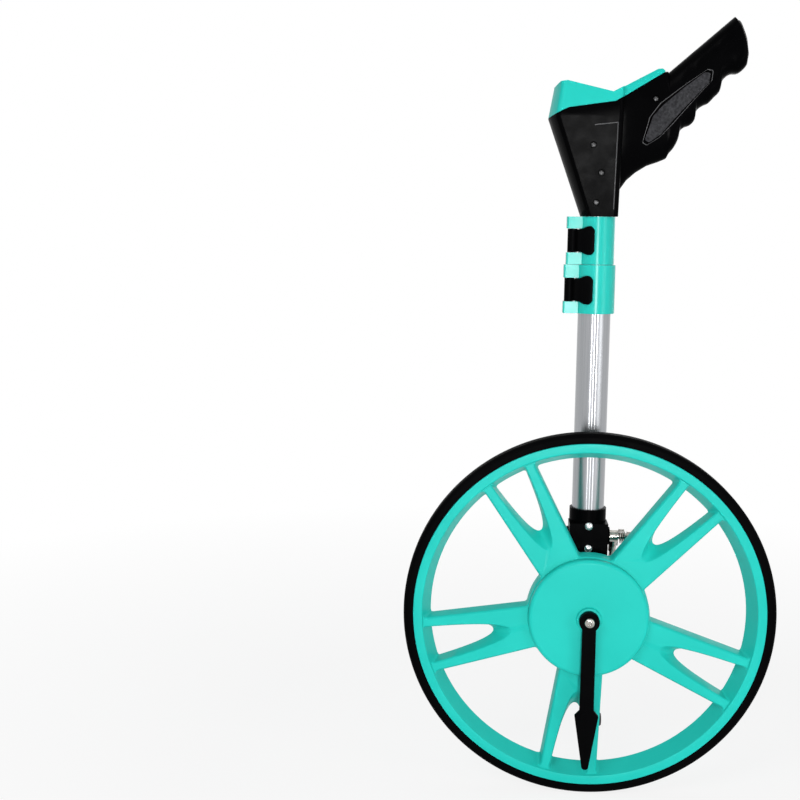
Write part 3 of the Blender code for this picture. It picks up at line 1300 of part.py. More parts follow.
def inlay_prism(name, grow, front):
    corners = [head_point(shares) for shares in INLAY_SHARES]
    middle_x = sum(x for x, z in corners) / len(corners)
    middle_z = sum(z for x, z in corners) / len(corners)
    outline = []
    for x, z in corners:
        reach = math.hypot(x - middle_x, z - middle_z)
        scale = (reach + grow) / reach
        outline.append((middle_x + (x - middle_x) * scale, middle_z + (z - middle_z) * scale))
    near = GRIP_HALF_WIDTH / 2
    far = POD_HALF_WIDTH
    low, high = (-far, -near) if front else (near, far)
    return prism(name, outline, low, high, "Y", None, (0.0, TUBE_Y, 0.0))


def make_inlay(name, front, mats):
    inlay = inlay_prism(name, 0.0, front)
    inlay.data.materials.append(mats["grey"])
    keep_inside(inlay, handle_loft(name + "_skin", None, -INLAY_PROUD))
    cut(inlay, handle_loft(name + "_floor", None, INLAY_SINK - GAP))
    return inlay


def screw_places():
    return [head_point(shares) for shares in HEAD_SCREW_SHARES]


def surface_depth(x, z):
    """How far the head's front surface stands from its middle plane at a screw."""
    share = min((z - HEAD_BASE) / POD_SEAM_HEIGHT, 1.0)
    if x < POD_RIGHT:
        return NECK_HALF_WIDTH + (POD_HALF_WIDTH - NECK_HALF_WIDTH) * share
    return GRIP_HALF_WIDTH


def screw_length(x, z):
    """A screw beside the tube stops short of it."""
    if z < HEAD_BASE + TUBE_STOP_HEIGHT:
        return surface_depth(x, z) - HEAD_SCREW_SINK - UPPER_TUBE_RADIUS - GAP * 4
    return HEAD_SCREW_LENGTH


def make_head_shell(name, front, mats):
    shell = pod_loft(name, mats["black"])
    fuse(shell, handle_loft(name + "_handle", None))
    cut(shell, above_seam(name + "_above_seam"))
    keep_inside(shell, half_space(name + "_half", front))
    cut(shell, head_cavity(name + "_cavity"))
    cut(shell, rod(name + "_tube_bore", UPPER_TUBE_RADIUS + GAP, HEAD_BASE - OVERRUN, HEAD_BASE + TUBE_STOP_HEIGHT + GAP, "Z",
                   (0.0, TUBE_Y, 0.0), None, ROUND_STEPS))
    seat = inlay_prism(name + "_inlay_seat", GAP * 2, front)
    cut(seat, handle_loft(name + "_inlay_floor", None, INLAY_SINK))
    cut(shell, seat)
    for index, (x, z) in enumerate(screw_places()):
        depth = surface_depth(x, z)
        if front:
            hole = rod("%s_screw_seat_%d" % (name, index + 1), HEAD_SCREW_HEAD + GAP, -depth - OVERRUN,
                       -depth + HEAD_SCREW_SINK + GAP, "Y", (x, TUBE_Y, z), None, SMALL_STEPS)
            shank = rod("%s_screw_hole_%d" % (name, index + 1), HEAD_SCREW_SHANK + GAP, -depth - OVERRUN,
                        -depth + HEAD_SCREW_SINK + screw_length(x, z) + GAP, "Y", (x, TUBE_Y, z), None, 12)
            cut(shell, hole, shank)
    if not front:
        cut(shell, door_box("battery_door_opening", GAP))
    return shell


def make_head_screws(mats):
    for index, (x, z) in enumerate(screw_places()):
        depth = surface_depth(x, z)
        head = -depth + HEAD_SCREW_SINK
        rings = []
        for along, radius in ((head - HEAD_SCREW_HEIGHT, HEAD_SCREW_HEAD * 0.8), (head - HEAD_SCREW_HEIGHT / 2, HEAD_SCREW_HEAD),
                              (head, HEAD_SCREW_HEAD), (head, HEAD_SCREW_SHANK),
                              (head + screw_length(x, z), HEAD_SCREW_SHANK)):
            rings.append([on_axis("Y", a, b, along, (x, TUBE_Y, z)) for a, b in circle(radius, 12)])
        loft("head_screw_%d" % (index + 1), rings, mats["steel"])


def slope_frame(first, second):
    """Origin, along and outward directions of one of the cover's two top slopes."""
    start = Vector(head_point(CREST_SHARES[first]))
    end = Vector(head_point(CREST_SHARES[second]))
    along = (end - start).normalized()
    normal = Vector((-along.y, along.x))
    if normal.y < 0.0:
        normal = -normal
    return start, end, along, normal


def slab_on_slope(name, start, along, normal, low, high, half, bottom, top, mat):
    """A plate lying on a slope, with its length along the slope and its width across the head."""
    corners = []
    for reach, rise in ((low, bottom), (high, bottom), (high, top), (low, top)):
        place = start + along * reach + normal * rise
        corners.append((place.x, place.y))
    return prism(name, corners, -half, half, "Y", mat, (0.0, TUBE_Y, 0.0), smooth=False)


def screen_place():
    start, end, along, normal = slope_frame(3, 4)
    return start, along, normal, (end - start).length * SCREEN_CENTRE_SHARE


def make_cover(mats):
    """The teal lid: the pod's and handle's own sides carried up to two top slopes."""
    cover = pod_loft("display_cover", mats["teal"])
    fuse(cover, handle_loft("cover_handle", None))
    cut(cover, below_seam("cover_below_seam"), above_crest("cover_above_crest"))
    cut(cover, head_cavity("cover_cavity"))
    start, along, normal, centre = screen_place()
    length = SCREEN_LENGTH / 2
    cut(cover, slab_on_slope("screen_opening", start, along, normal, centre - length + SCREEN_LEDGE,
                             centre + length - SCREEN_LEDGE, SCREEN_WIDTH / 2 - SCREEN_LEDGE, -HEAD_WALL * 3, OVERRUN, None),
        slab_on_slope("screen_seat", start, along, normal, centre - length - GAP, centre + length + GAP,
                      SCREEN_WIDTH / 2 + GAP, -SCREEN_THICKNESS - GAP, OVERRUN, None))
    for index in range(BUTTON_COUNT):
        place, outward = button_place(index)
        cut(cover, bar("button_hole_%d" % (index + 1), place - outward * HEAD_WALL * 3, place + outward * OVERRUN,
                       BUTTON_RADIUS + GAP, None))
    return cover


def make_screen(mats):
    start, along, normal, centre = screen_place()
    length = SCREEN_LENGTH / 2
    slab_on_slope("display_window", start, along, normal, centre - length, centre + length, SCREEN_WIDTH / 2,
                  -SCREEN_THICKNESS, 0.0, mats["screen"])
    skin = -HEAD_WALL * SKIN_SHARE
    reach = length - SCREEN_LEDGE / 2
    slab_on_slope("display_panel", start, along, normal, centre - reach, centre + reach, SCREEN_WIDTH / 2,
                  skin - LCD_THICKNESS, skin - GAP, mats["panel"])
    slab_on_slope("main_board", start, along, normal, centre - BOARD_LENGTH / 2, centre + BOARD_LENGTH / 2,
                  BOARD_WIDTH / 2, skin - LCD_THICKNESS - GAP - BOARD_THICKNESS, skin - LCD_THICKNESS - GAP, mats["board"])


def button_place(index):
    start, end, along, normal = slope_frame(3, 2)
    reach = (end - start).length * BUTTON_START_SHARE + BUTTON_PITCH * index
    place = start + along * reach
    return Vector((place.x, TUBE_Y, place.y)), Vector((normal.x, 0.0, normal.y))


def make_buttons(mats):
    for index in range(BUTTON_COUNT):
        place, outward = button_place(index)
        travel = pivot("button_%d_pivot" % (index + 1), place)
        skin = HEAD_WALL * SKIN_SHARE
        rings_top = place + outward * BUTTON_PROUD
        flange_top = place - outward * (skin + GAP)
        button = bar("button_%d" % (index + 1), flange_top - outward * BUTTON_FLANGE_HEIGHT / 2, rings_top, BUTTON_RADIUS,
                     mats["button"])
        flange = bar("button_flange_%d" % (index + 1), flange_top - outward * BUTTON_FLANGE_HEIGHT, flange_top, BUTTON_FLANGE,
                     None)
        fuse(button, flange)
        carry(travel, button)


def make_switch_board(mats):
    start, end, along, normal = slope_frame(3, 2)
    centre = (end - start).length * BUTTON_START_SHARE + BUTTON_PITCH
    half = SWITCH_BOARD_LENGTH / 2
    return slab_on_slope("switch_board", start, along, normal, centre - half, centre + half, SWITCH_BOARD_WIDTH / 2,
                         -SWITCH_BOARD_DROP - BOARD_THICKNESS, -SWITCH_BOARD_DROP, mats["board"])


def make_batteries(mats):
    for index, sign in enumerate((-1.0, 1.0)):
        x = HEAD_LEFT / 4 + sign * BATTERY_SPACING / 2
        centre = (x, TUBE_Y, HEAD_BASE + BATTERY_HEIGHT)
        rod("battery_%d" % (index + 1), BATTERY_RADIUS, -BATTERY_LENGTH / 2, BATTERY_LENGTH / 2, "Y", centre,
            mats["battery"])


def make_head(mats):
    make_head_shell("head_front_shell", True, mats)
    make_head_shell("head_rear_shell", False, mats)
    make_inlay("grip_inlay_front", True, mats)
    make_inlay("grip_inlay_rear", False, mats)
    make_head_screws(mats)
    make_cover(mats)
    make_screen(mats)
    make_buttons(mats)
    make_switch_board(mats)
    make_batteries(mats)
    make_battery_door(mats)


def make_middle(mats):
    """Everything that slides with the middle tube."""
    top = UPPER_CLAMP_BASE + CLAMP_HEIGHT / 2
    flute = TUBE_FLUTE_HALF + TUBE_WALL * 0.4 + GAP
    make_tube("middle_tube", MIDDLE_TUBE_RADIUS, MIDDLE_TUBE_FOOT, top, flute, mats)
    make_clamp("upper_clamp", UPPER_COLLAR_RADIUS, UPPER_CLAMP_BASE, MIDDLE_TUBE_RADIUS, UPPER_TUBE_RADIUS, mats)
    make_clamp_pin("upper_clamp_pin", UPPER_COLLAR_RADIUS, UPPER_CLAMP_BASE, mats)
    make_lever("upper_clamp_lever", UPPER_COLLAR_RADIUS, UPPER_CLAMP_BASE, mats)


def make_upper(mats):
    flute = TUBE_FLUTE_HALF + TUBE_WALL * 0.8 + GAP * 2
    make_tube("upper_tube", UPPER_TUBE_RADIUS, UPPER_TUBE_FOOT, HEAD_BASE + TUBE_STOP_HEIGHT, flute, mats)


def main():
    clear_scene()
    mats = make_materials()
    make_wheel(mats)
    make_axle(mats)
    make_spacers(mats)
    make_axle_nut(mats)
    make_pointer(mats)
    make_pointer_screw(mats)
    make_bracket(mats)
    make_sensor(mats)
    make_rivets(mats)
    make_lower_tube(mats)
    make_clamp("lower_clamp", LOWER_COLLAR_RADIUS, LOWER_CLAMP_BASE, LOWER_TUBE_RADIUS, MIDDLE_TUBE_RADIUS, mats)
    make_clamp_pin("lower_clamp_pin", LOWER_COLLAR_RADIUS, LOWER_CLAMP_BASE, mats)
    make_lever("lower_clamp_lever", LOWER_COLLAR_RADIUS, LOWER_CLAMP_BASE, mats)
    make_stand_bolt(mats)
    make_stand_spring(mats)
    make_stand(mats)
    make_middle(mats)
    make_upper(mats)
    make_head(mats)


main()
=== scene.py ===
import json
import math

import bmesh
import bpy
from mathutils import Matrix, Vector


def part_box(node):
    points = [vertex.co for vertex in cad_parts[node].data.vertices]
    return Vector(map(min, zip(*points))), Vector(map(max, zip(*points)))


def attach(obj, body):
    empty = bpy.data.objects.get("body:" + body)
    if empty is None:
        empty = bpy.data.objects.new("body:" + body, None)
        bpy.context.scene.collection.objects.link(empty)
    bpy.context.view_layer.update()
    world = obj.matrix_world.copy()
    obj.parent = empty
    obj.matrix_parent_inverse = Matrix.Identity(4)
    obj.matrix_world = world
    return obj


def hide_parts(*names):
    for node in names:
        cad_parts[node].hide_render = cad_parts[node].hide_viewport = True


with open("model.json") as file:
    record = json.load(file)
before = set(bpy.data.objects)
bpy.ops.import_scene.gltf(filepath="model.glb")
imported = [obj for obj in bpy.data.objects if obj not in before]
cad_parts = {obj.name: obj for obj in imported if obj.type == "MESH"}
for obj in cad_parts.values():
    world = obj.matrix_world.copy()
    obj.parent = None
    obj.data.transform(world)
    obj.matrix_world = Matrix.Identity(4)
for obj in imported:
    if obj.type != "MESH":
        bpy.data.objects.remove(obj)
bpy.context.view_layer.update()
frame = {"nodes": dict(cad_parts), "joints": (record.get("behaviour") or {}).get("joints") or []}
NODES = frame["nodes"]
JOINTS = {joint["name"]: joint for joint in frame["joints"]}

# Sizes in metres, angles in degrees
GAP = 0.0003
AXLE = Vector(JOINTS["wheel_spin"]["pos_m"])
TUBE_Y = JOINTS["upper_slide"]["pos_m"][1]
WHEEL_R = 0.15915
RIM_R = 0.15055
BAND_R = 0.14255
RIM_W = 0.0176
DRAFT = 0.0069
WEB_FRONT = -0.0066
WEB_BACK = 0.0080
SPOKES = 5
SPOKE_TURN = 360.0 / SPOKES
FIRST_SPOKE = -95.4
POINTER_BACK = -0.0187
BRACKET_FRONT = 0.0172
RIVET_HEIGHTS = (0.2131, 0.2327)
STAND_BOLT_Z = 0.2205
LOWER_TUBE_R = 0.0140
MIDDLE_TUBE_R = 0.0124
UPPER_TUBE_R = 0.0108
LOWER_COLLAR_R = 0.0170
UPPER_COLLAR_R = 0.0154
LOWER_CLAMP_Z = 0.4172
UPPER_CLAMP_Z = 0.4590
CLAMP_H = 0.0404
HEAD_Z = 0.4997
HEAD_L = 0.1645
HEAD_H = 0.1644


# Meshes

def from_mesh(name, verts, faces, smooth=35.0):
    mesh = bpy.data.meshes.new(name)
    shell = bmesh.new()
    made = [shell.verts.new(point) for point in verts]
    for face in faces:
        shell.faces.new([made[index] for index in face])
    bmesh.ops.recalc_face_normals(shell, faces=shell.faces)
    shell.to_mesh(mesh)
    shell.free()
    if smooth:
        mesh.shade_smooth()
        mesh.set_sharp_from_angle(angle=math.radians(smooth))
    item = bpy.data.objects.new(name, mesh)
    bpy.context.scene.collection.objects.link(item)
    return item


def loft(name, rings, smooth=35.0):
    count = len(rings[0])
    verts = [point for ring in rings for point in ring]
    faces = []
    for level in range(len(rings) - 1):
        low = level * count
        high = low + count
        for step in range(count):
            following = (step + 1) % count
            faces.append((low + step, low + following, high + following, high + step))
    last = (len(rings) - 1) * count
    faces.append(tuple(range(count)))
    faces.append(tuple(range(last + count - 1, last - 1, -1)))
    return from_mesh(name, verts, faces, smooth)


def on_axis(axis, first, second, along, centre):
    local = {"X": (along, first, second), "Y": (first, along, second), "Z": (first, second, along)}[axis]
    return Vector(local) + Vector(centre)


def prism(name, outline, low, high, axis, centre=(0.0, 0.0, 0.0), smooth=35.0):
    return loft(name, [[on_axis(axis, a, b, along, centre) for a, b in outline] for along in (low, high)],
                smooth)


def turned(name, profile, axis, centre, steps=128, smooth=35.0):
    count = len(profile)
    verts = []
    for step in range(steps):
        angle = 2.0 * math.pi * step / steps
        for radius, along in profile:
            verts.append(on_axis(axis, radius * math.sin(angle), -radius * math.cos(angle), along, centre))
    faces = []
    for step in range(steps):
        here = step * count
        there = ((step + 1) % steps) * count
        for corner in range(count):
            following = (corner + 1) % count
            faces.append((here + corner, here + following, there + following, there + corner))
    return from_mesh(name, verts, faces, smooth)


def solid_turned(name, profile, axis, centre, steps=48, smooth=35.0):
    rings = []
    for radius, along in profile:
        rings.append([on_axis(axis, radius * math.cos(2 * math.pi * k / steps),
                              radius * math.sin(2 * math.pi * k / steps),
                              along, centre) for k in range(steps)])
    return loft(name, rings, smooth)


def circle(radius, steps=48):
    return [(radius * math.cos(2 * math.pi * k / steps), radius * math.sin(2 * math.pi * k / steps))
            for k in range(steps)]


def rod(name, radius, low, high, axis, centre, steps=48):
    return prism(name, circle(radius, steps), low, high, axis, centre)


def block(name, low, high):
    outline = ((low[0], low[1]), (high[0], low[1]), (high[0], high[1]), (low[0], high[1]))
    return prism(name, outline, low[2], high[2], "Z", smooth=0)


def rounded(corners, radii, steps=8):
    outline = []
    count = len(corners)
    for index, corner in enumerate(corners):
        here = Vector(corner)
        radius = radii[index]
        if radius <= 0.0:
            outline.append((here.x, here.y))
            continue
        before = Vector(corners[index - 1]) - here
        after = Vector(corners[(index + 1) % count]) - here
        reach = min(before.length, after.length) * 0.49
        before.normalize()
        after.normalize()
        half = before.angle(after) / 2.0
        back = min(radius / math.tan(half), reach)
        radius = back * math.tan(half)
        middle = here + (before + after).normalized() * (radius / math.sin(half))
        start = here + before * back - middle
        end = here + after * back - middle
        turn = start.angle_signed(end)
        for step in range(steps + 1):
            angle = -turn * step / steps
            outline.append((middle.x + start.x * math.cos(angle) - start.y * math.sin(angle),
                            middle.y + start.x * math.sin(angle) + start.y * math.cos(angle)))
    return outline


def turned_point(along, across, degrees):
    angle = math.radians(degrees)
    return (along * math.cos(angle) - across * math.sin(angle),
            along * math.sin(angle) + across * math.cos(angle))


def boolean(target, tool, operation):
    step = target.modifiers.new("op", "BOOLEAN")
    step.operation = operation
    step.solver = "EXACT"
    step.object = tool


def apply(target, *tools):
    """Make the modifiers real and take the tools away."""
    graph = bpy.context.evaluated_depsgraph_get()
    mesh = bpy.data.meshes.new_from_object(target.evaluated_get(graph))
    target.modifiers.clear()
    target.data = mesh
    for tool in tools:
        bpy.data.objects.remove(tool, do_unlink=True)
    return target


def cut(target, *tools):
    for tool in tools:
        boolean(target, tool, "DIFFERENCE")
    return apply(target, *tools)


def fuse(target, *tools):
    for tool in tools:
        boolean(target, tool, "UNION")
    return apply(target, *tools)


def keep_inside(target, tool):
    boolean(target, tool, "INTERSECT")
    return apply(target, tool)


def join_flats(item):
    """Flat faces that a Boolean left in strips become one face again."""
    mesh = bmesh.new()
    mesh.from_mesh(item.data)
    bmesh.ops.dissolve_limit(mesh, angle_limit=math.radians(0.4), verts=mesh.verts, edges=mesh.edges)
    mesh.to_mesh(item.data)
    mesh.free()


def even(item, sharp=180.0):
    """Shading that follows the large faces, so flats look flat beside round edges."""
    item.data.shade_smooth()
    item.data.set_sharp_from_angle(angle=math.radians(sharp))
    normals = item.modifiers.new("even_normals", "WEIGHTED_NORMAL")
    normals.mode = "FACE_AREA"
    normals.weight = 50
    normals.keep_sharp = True
    return apply(item)


def soften(item, width, steps=3, angle=35.0):
    """Rounded edges, with the shading of the flat faces kept flat."""
    join_flats(item)
    edge = item.modifiers.new("soft_edges", "BEVEL")
    edge.width = width
    edge.segments = steps
    edge.limit_method = "ANGLE"
    edge.angle_limit = math.radians(angle)
    apply(item)
    return even(item)


def finish_piece(item, node, body, mat):
    """Give a piece its looks and put it in the place of its solid."""
    item.data.materials.clear()
    item.data.materials.append(mat)
    for face in item.data.polygons:
        face.material_index = 0
    if node:
        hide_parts(node)
    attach(item, body)
    return item


# Materials

def shader(name, roughness, metallic=0.0, **more):
    mat = bpy.data.materials.new(name)
    mat.use_nodes = True
    main = mat.node_tree.nodes["Principled BSDF"]
    main.inputs["Roughness"].default_value = roughness
    main.inputs["Metallic"].default_value = metallic
    for key, value in more.items():
        main.inputs[key.replace("_", " ")].default_value = value
    return mat, mat.node_tree, main


def coordinates(tree, scale=(1.0, 1.0, 1.0)):
    place = tree.nodes.new("ShaderNodeTexCoord")
    spread = tree.nodes.new("ShaderNodeMapping")
    spread.inputs["Scale"].default_value = scale
    tree.links.new(place.outputs["Object"], spread.inputs["Vector"])
    return spread.outputs["Vector"]


def noise(tree, vector, scale, detail=3.0, rough=0.5):
    made = tree.nodes.new("ShaderNodeTexNoise")
    made.inputs["Scale"].default_value = scale
    made.inputs["Detail"].default_value = detail
    made.inputs["Roughness"].default_value = rough
    tree.links.new(vector, made.inputs["Vector"])
    return made.outputs["Fac"]


def ramp(tree, factor, low, high, start=0.3, end=0.7):
    made = tree.nodes.new("ShaderNodeMapRange")
    made.inputs["From Min"].default_value = start
    made.inputs["From Max"].default_value = end
    made.inputs["To Min"].default_value = low
    made.inputs["To Max"].default_value = high
    tree.links.new(factor, made.inputs["Value"])
    return made.outputs["Result"]


def two_tone(tree, factor, dark, light):
    made = tree.nodes.new("ShaderNodeValToRGB")
    made.color_ramp.elements[0].position = 0.3
    made.color_ramp.elements[1].position = 0.7
    made.color_ramp.elements[0].color = (*dark, 1.0)
    made.color_ramp.elements[1].color = (*light, 1.0)
    tree.links.new(factor, made.inputs["Fac"])
    return made.outputs["Color"]


def bump(tree, main, height, strength, distance):
    made = tree.nodes.new("ShaderNodeBump")
    made.inputs["Strength"].default_value = strength
    made.inputs["Distance"].default_value = distance
    tree.links.new(height, made.inputs["Height"])
    tree.links.new(made.outputs["Normal"], main.inputs["Normal"])


def moulded(name, dark, light, rough_low, rough_high, grain, strength, patch=14.0, **more):
    """Moulded plastic or rubber: a change of tone, a fine change of gloss and a fine grain."""
    mat, tree, main = shader(name, rough_low, **more)
    vector = coordinates(tree)
    tree.links.new(two_tone(tree, noise(tree, vector, patch), dark, light), main.inputs["Base Color"])
    fine = noise(tree, vector, 90.0, 4.0)
    tree.links.new(ramp(tree, fine, rough_low, rough_high), main.inputs["Roughness"])
    bump(tree, main, noise(tree, vector, grain, 2.0), strength, 0.0002)
    return mat


def drawn_metal(name, dark, light, rough_low, rough_high, stretch):
    """Metal with fine lines along one direction."""
    mat, tree, main = shader(name, rough_low, 1.0)
    lines = noise(tree, coordinates(tree, stretch), 1.0, 3.0, 0.6)
    tree.links.new(two_tone(tree, lines, dark, light), main.inputs["Base Color"])
    tree.links.new(ramp(tree, lines, rough_low, rough_high), main.inputs["Roughness"])
    bump(tree, main, lines, 0.05, 0.0001)
    return mat


def make_materials():
    made = {
        "teal": moulded("teal_plastic", (0.013, 0.515, 0.445), (0.017, 0.565, 0.49), 0.32, 0.42, 900.0,
                        0.06,
                        Specular_IOR_Level=0.10),
        "gloss": moulded("teal_gloss", (0.013, 0.50, 0.43), (0.017, 0.55, 0.475), 0.19, 0.25, 900.0, 0.03,
                         Specular_IOR_Level=0.22),
        "black": moulded("black_plastic", (0.0008, 0.0008, 0.0010), (0.0016, 0.0016, 0.0018), 0.20, 0.30,
                         1100.0, 0.03,
                         Specular_IOR_Level=0.01),
        "matt_black": moulded("black_nylon", (0.0008, 0.0008, 0.0010), (0.0016, 0.0016, 0.0018), 0.34, 0.46,
                              1400.0, 0.08,
                              Specular_IOR_Level=0.012),
        "tyre": moulded("tyre_rubber", (0.0008, 0.0008, 0.0010), (0.0016, 0.0016, 0.0018), 0.42, 0.55,
                        700.0, 0.12,
                        Specular_IOR_Level=0.012),
        "rubber": moulded("foot_rubber", (0.010, 0.010, 0.011), (0.016, 0.016, 0.017), 0.6, 0.75, 900.0,
                          0.2),
        "grey": moulded("grip_grey", (0.006, 0.006, 0.0075), (0.034, 0.034, 0.038), 0.50, 0.70, 800.0, 0.8,
                        420.0,
                        Specular_IOR_Level=0.15),
        "sleeve": moulded("grey_vinyl", (0.22, 0.22, 0.23), (0.28, 0.28, 0.29), 0.5, 0.65, 700.0, 0.15),
        "button": moulded("button_rubber", (0.10, 0.105, 0.11), (0.13, 0.135, 0.14), 0.5, 0.6, 900.0, 0.15),
        "panel": moulded("display_panel", (0.30, 0.36, 0.30), (0.34, 0.40, 0.33), 0.3, 0.36, 500.0, 0.02),
        "digit": moulded("display_digit", (0.03, 0.03, 0.03), (0.04, 0.04, 0.04), 0.3, 0.36, 500.0, 0.02),
        "board": moulded("circuit_board", (0.02, 0.18, 0.07), (0.03, 0.24, 0.09), 0.4, 0.55, 300.0, 0.05),
        "cell": moulded("battery_can", (0.12, 0.12, 0.13), (0.16, 0.16, 0.17), 0.3, 0.4, 400.0, 0.02,
                        Metallic=0.6),
        "tube": drawn_metal("silver_tube", (0.32, 0.33, 0.345), (0.38, 0.39, 0.405), 0.26, 0.34,
                            (700.0, 700.0, 5.0)),
        "steel": drawn_metal("plated_steel", (0.55, 0.55, 0.56), (0.68, 0.68, 0.69), 0.18, 0.30,
                             (300.0, 300.0, 300.0)),
    }
    made["nickel"] = drawn_metal("stand_nickel", (0.22, 0.21, 0.19), (0.48, 0.47, 0.44), 0.14, 0.24,
                                 (400.0, 400.0, 400.0))
    # Black made much lighter than the other blacks: a painted highlight along the inlay lips and the panel line
    made["edge"] = moulded("edge_painted_highlight", (0.03, 0.03, 0.032), (0.06, 0.06, 0.064), 0.25, 0.35, 900.0, 0.05)
    made["screw"] = drawn_metal("dark_steel", (0.02, 0.02, 0.02), (0.07, 0.07, 0.072), 0.25, 0.40,
                                (300.0, 300.0, 300.0))
    mat, tree, main = shader("screen_glass", 0.05, Transmission_Weight=0.85, IOR=1.49)
    tree.links.new(two_tone(tree, noise(tree, coordinates(tree), 30.0), (0.80, 0.84, 0.84),
                            (0.86, 0.90, 0.90)),
                   main.inputs["Base Color"])
    made["screen"] = mat
    return made


# Wheel

def rim_inner(along):
    return BAND_R - DRAFT * (along + RIM_W / 2) / RIM_W


def make_tyre(mats):
    half = 0.0086
    seat = WHEEL_R - 0.0083
    shoulder = 0.0046
    profile = [(seat, -half), (seat + 0.0008, -half), (WHEEL_R - shoulder - 0.0006, -half)]
    for step in range(1, 12):
        angle = math.pi / 2.0 * step / 12
        profile.append((WHEEL_R - shoulder + shoulder * math.sin(angle),
                        -half + shoulder - shoulder * math.cos(angle)))
    profile.append((WHEEL_R - 0.00005, -half + shoulder))
    groove = [(WHEEL_R, -0.0026), (WHEEL_R - 0.0005, -0.0023), (WHEEL_R - 0.0005, -0.0019),
              (WHEEL_R, -0.0016)]
    front = profile + groove
    full = front + [(radius, -along) for radius, along in reversed(front)]
    full += [(seat, 0.0032), (seat - 0.0012, 0.0032), (seat - 0.0012, -0.0032), (seat, -0.0032)]
    item = even(turned("tyre_rubber", full, "Y", AXLE, 256), 40.0)
    finish_piece(item, "tyre", "wheel", mats["tyre"])


def rim_ring():
    half = RIM_W / 2
    seat = RIM_R - 0.0042
    floor = -half + 0.003
    edge = 0.0012
    profile = []
    for step in range(7):
        angle = math.pi / 2.0 * step / 6
        profile.append((BAND_R + edge - edge * math.cos(angle), -half + edge - edge * math.sin(angle)))
    for step in range(5):
        angle = math.pi / 2.0 * step / 4
        profile.append((RIM_R - 0.0006 + 0.0006 * math.sin(angle),
                        -half + 0.0006 - 0.0006 * math.cos(angle)))
    profile += [(RIM_R, -0.0035), (RIM_R - 0.0012, -0.0035), (RIM_R - 0.0012, 0.0035), (RIM_R, 0.0035),
                (RIM_R, half),
                (seat, half), (seat, floor), (rim_inner(floor) + 0.003, floor), (rim_inner(half) + 0.003,
                                                                                 half),
                (rim_inner(half), half)]
    return turned("wheel_moulding_fine", profile, "Y", AXLE, 240)


def window_outline(index, along, grow):
    """The opening between two spokes, from the hub to the rim."""
    hub = 0.0525 - grow
    rim = rim_inner(along) + 0.0004
    half_hub = 0.0187 - grow
    half_rim = 0.0245 - grow
    low = FIRST_SPOKE + SPOKE_TURN * index
    high = low + SPOKE_TURN
    corners = [turned_point(math.sqrt(hub ** 2 - half_hub ** 2), half_hub, low),
               turned_point(math.sqrt(rim ** 2 - half_rim ** 2), half_rim, low)]
    edge = math.degrees(math.asin(half_rim / rim))
    fillet = math.degrees((0.004 + grow) * 1.6 / rim)
    for step in range(17):
        corners.append(turned_point(rim, 0.0, low + edge + fillet + (SPOKE_TURN - 2.0 * (edge + fillet))
                                    * step / 16))
    corners.append(turned_point(math.sqrt(rim ** 2 - half_rim ** 2), -half_rim, high))
    corners.append(turned_point(math.sqrt(hub ** 2 - half_hub ** 2), -half_hub, high))
    edge = math.degrees(math.asin(half_hub / hub))
    for step in range(1, 6):
        corners.append(turned_point(hub, 0.0, high - edge - (SPOKE_TURN - 2.0 * edge) * step / 6))
    radii = [0.0] * len(corners)
    for corner in (0, 1, 19, 20):
        radii[corner] = 0.004 + grow
    return rounded(corners, radii, 8)


def window_cutter(index):
    rings = []
    levels = [(WEB_FRONT - 0.0016, 0.0030), (WEB_FRONT, 0.0016), (WEB_FRONT + 0.0005, 0.0009),
              (WEB_FRONT + 0.0011, 0.0003),
              (WEB_FRONT + 0.0018, 0.0), (WEB_BACK + 0.004, -0.0008)]
    for along, grow in levels:
        rings.append([on_axis("Y", a, b, along, AXLE) for a, b in window_outline(index, along, grow)])
    return loft("window_%d" % index, rings)


def slot_outline(index, along, grow):
    """One opening inside a spoke: a rounded nose that widens steadily to the rim."""
    share = (along - WEB_FRONT) / (WEB_BACK - WEB_FRONT)
    tip = 0.0680 + 0.0150 * share - grow
    half = 0.0166 - 0.0020 * share + grow
    rim = rim_inner(along) + 0.0004
    corner = math.sqrt(rim ** 2 - half ** 2)
    side = []
    for step in range(1, 18):
        reach = (step / 18) ** 2.2
        side.append((tip + (corner - tip) * reach, half * reach ** 0.45))
    arc = []
    for step in range(1, 6):
        spread = math.asin(half / rim) * (1.0 - step / 3.0)
        arc.append((rim * math.cos(spread), -rim * math.sin(spread)))
    corners = [(tip, 0.0)] + [(a, -b)
                              for a, b in side] + [(corner, -half)] + arc + [(corner, half)] + side[::-1]
    radii = [0.0] * len(corners)
    radii[18] = 0.002
    radii[24] = 0.002
    return [turned_point(a, b, FIRST_SPOKE + SPOKE_TURN * index) for a, b in rounded(corners, radii, 6)]


def slot_cutter(index):
    """The slot with a round edge at the front."""
    levels = [(WEB_FRONT - 0.0016, 0.0022), (WEB_FRONT, 0.0010), (WEB_FRONT + 0.0005, 0.0005),
              (WEB_FRONT + 0.0012, 0.0),
              (WEB_BACK + 0.004, 0.0)]
    rings = [[on_axis("Y", a, b, along, AXLE) for a, b in slot_outline(index, along, grow)]
             for along, grow in levels]
    return loft("slot_%d" % index, rings)


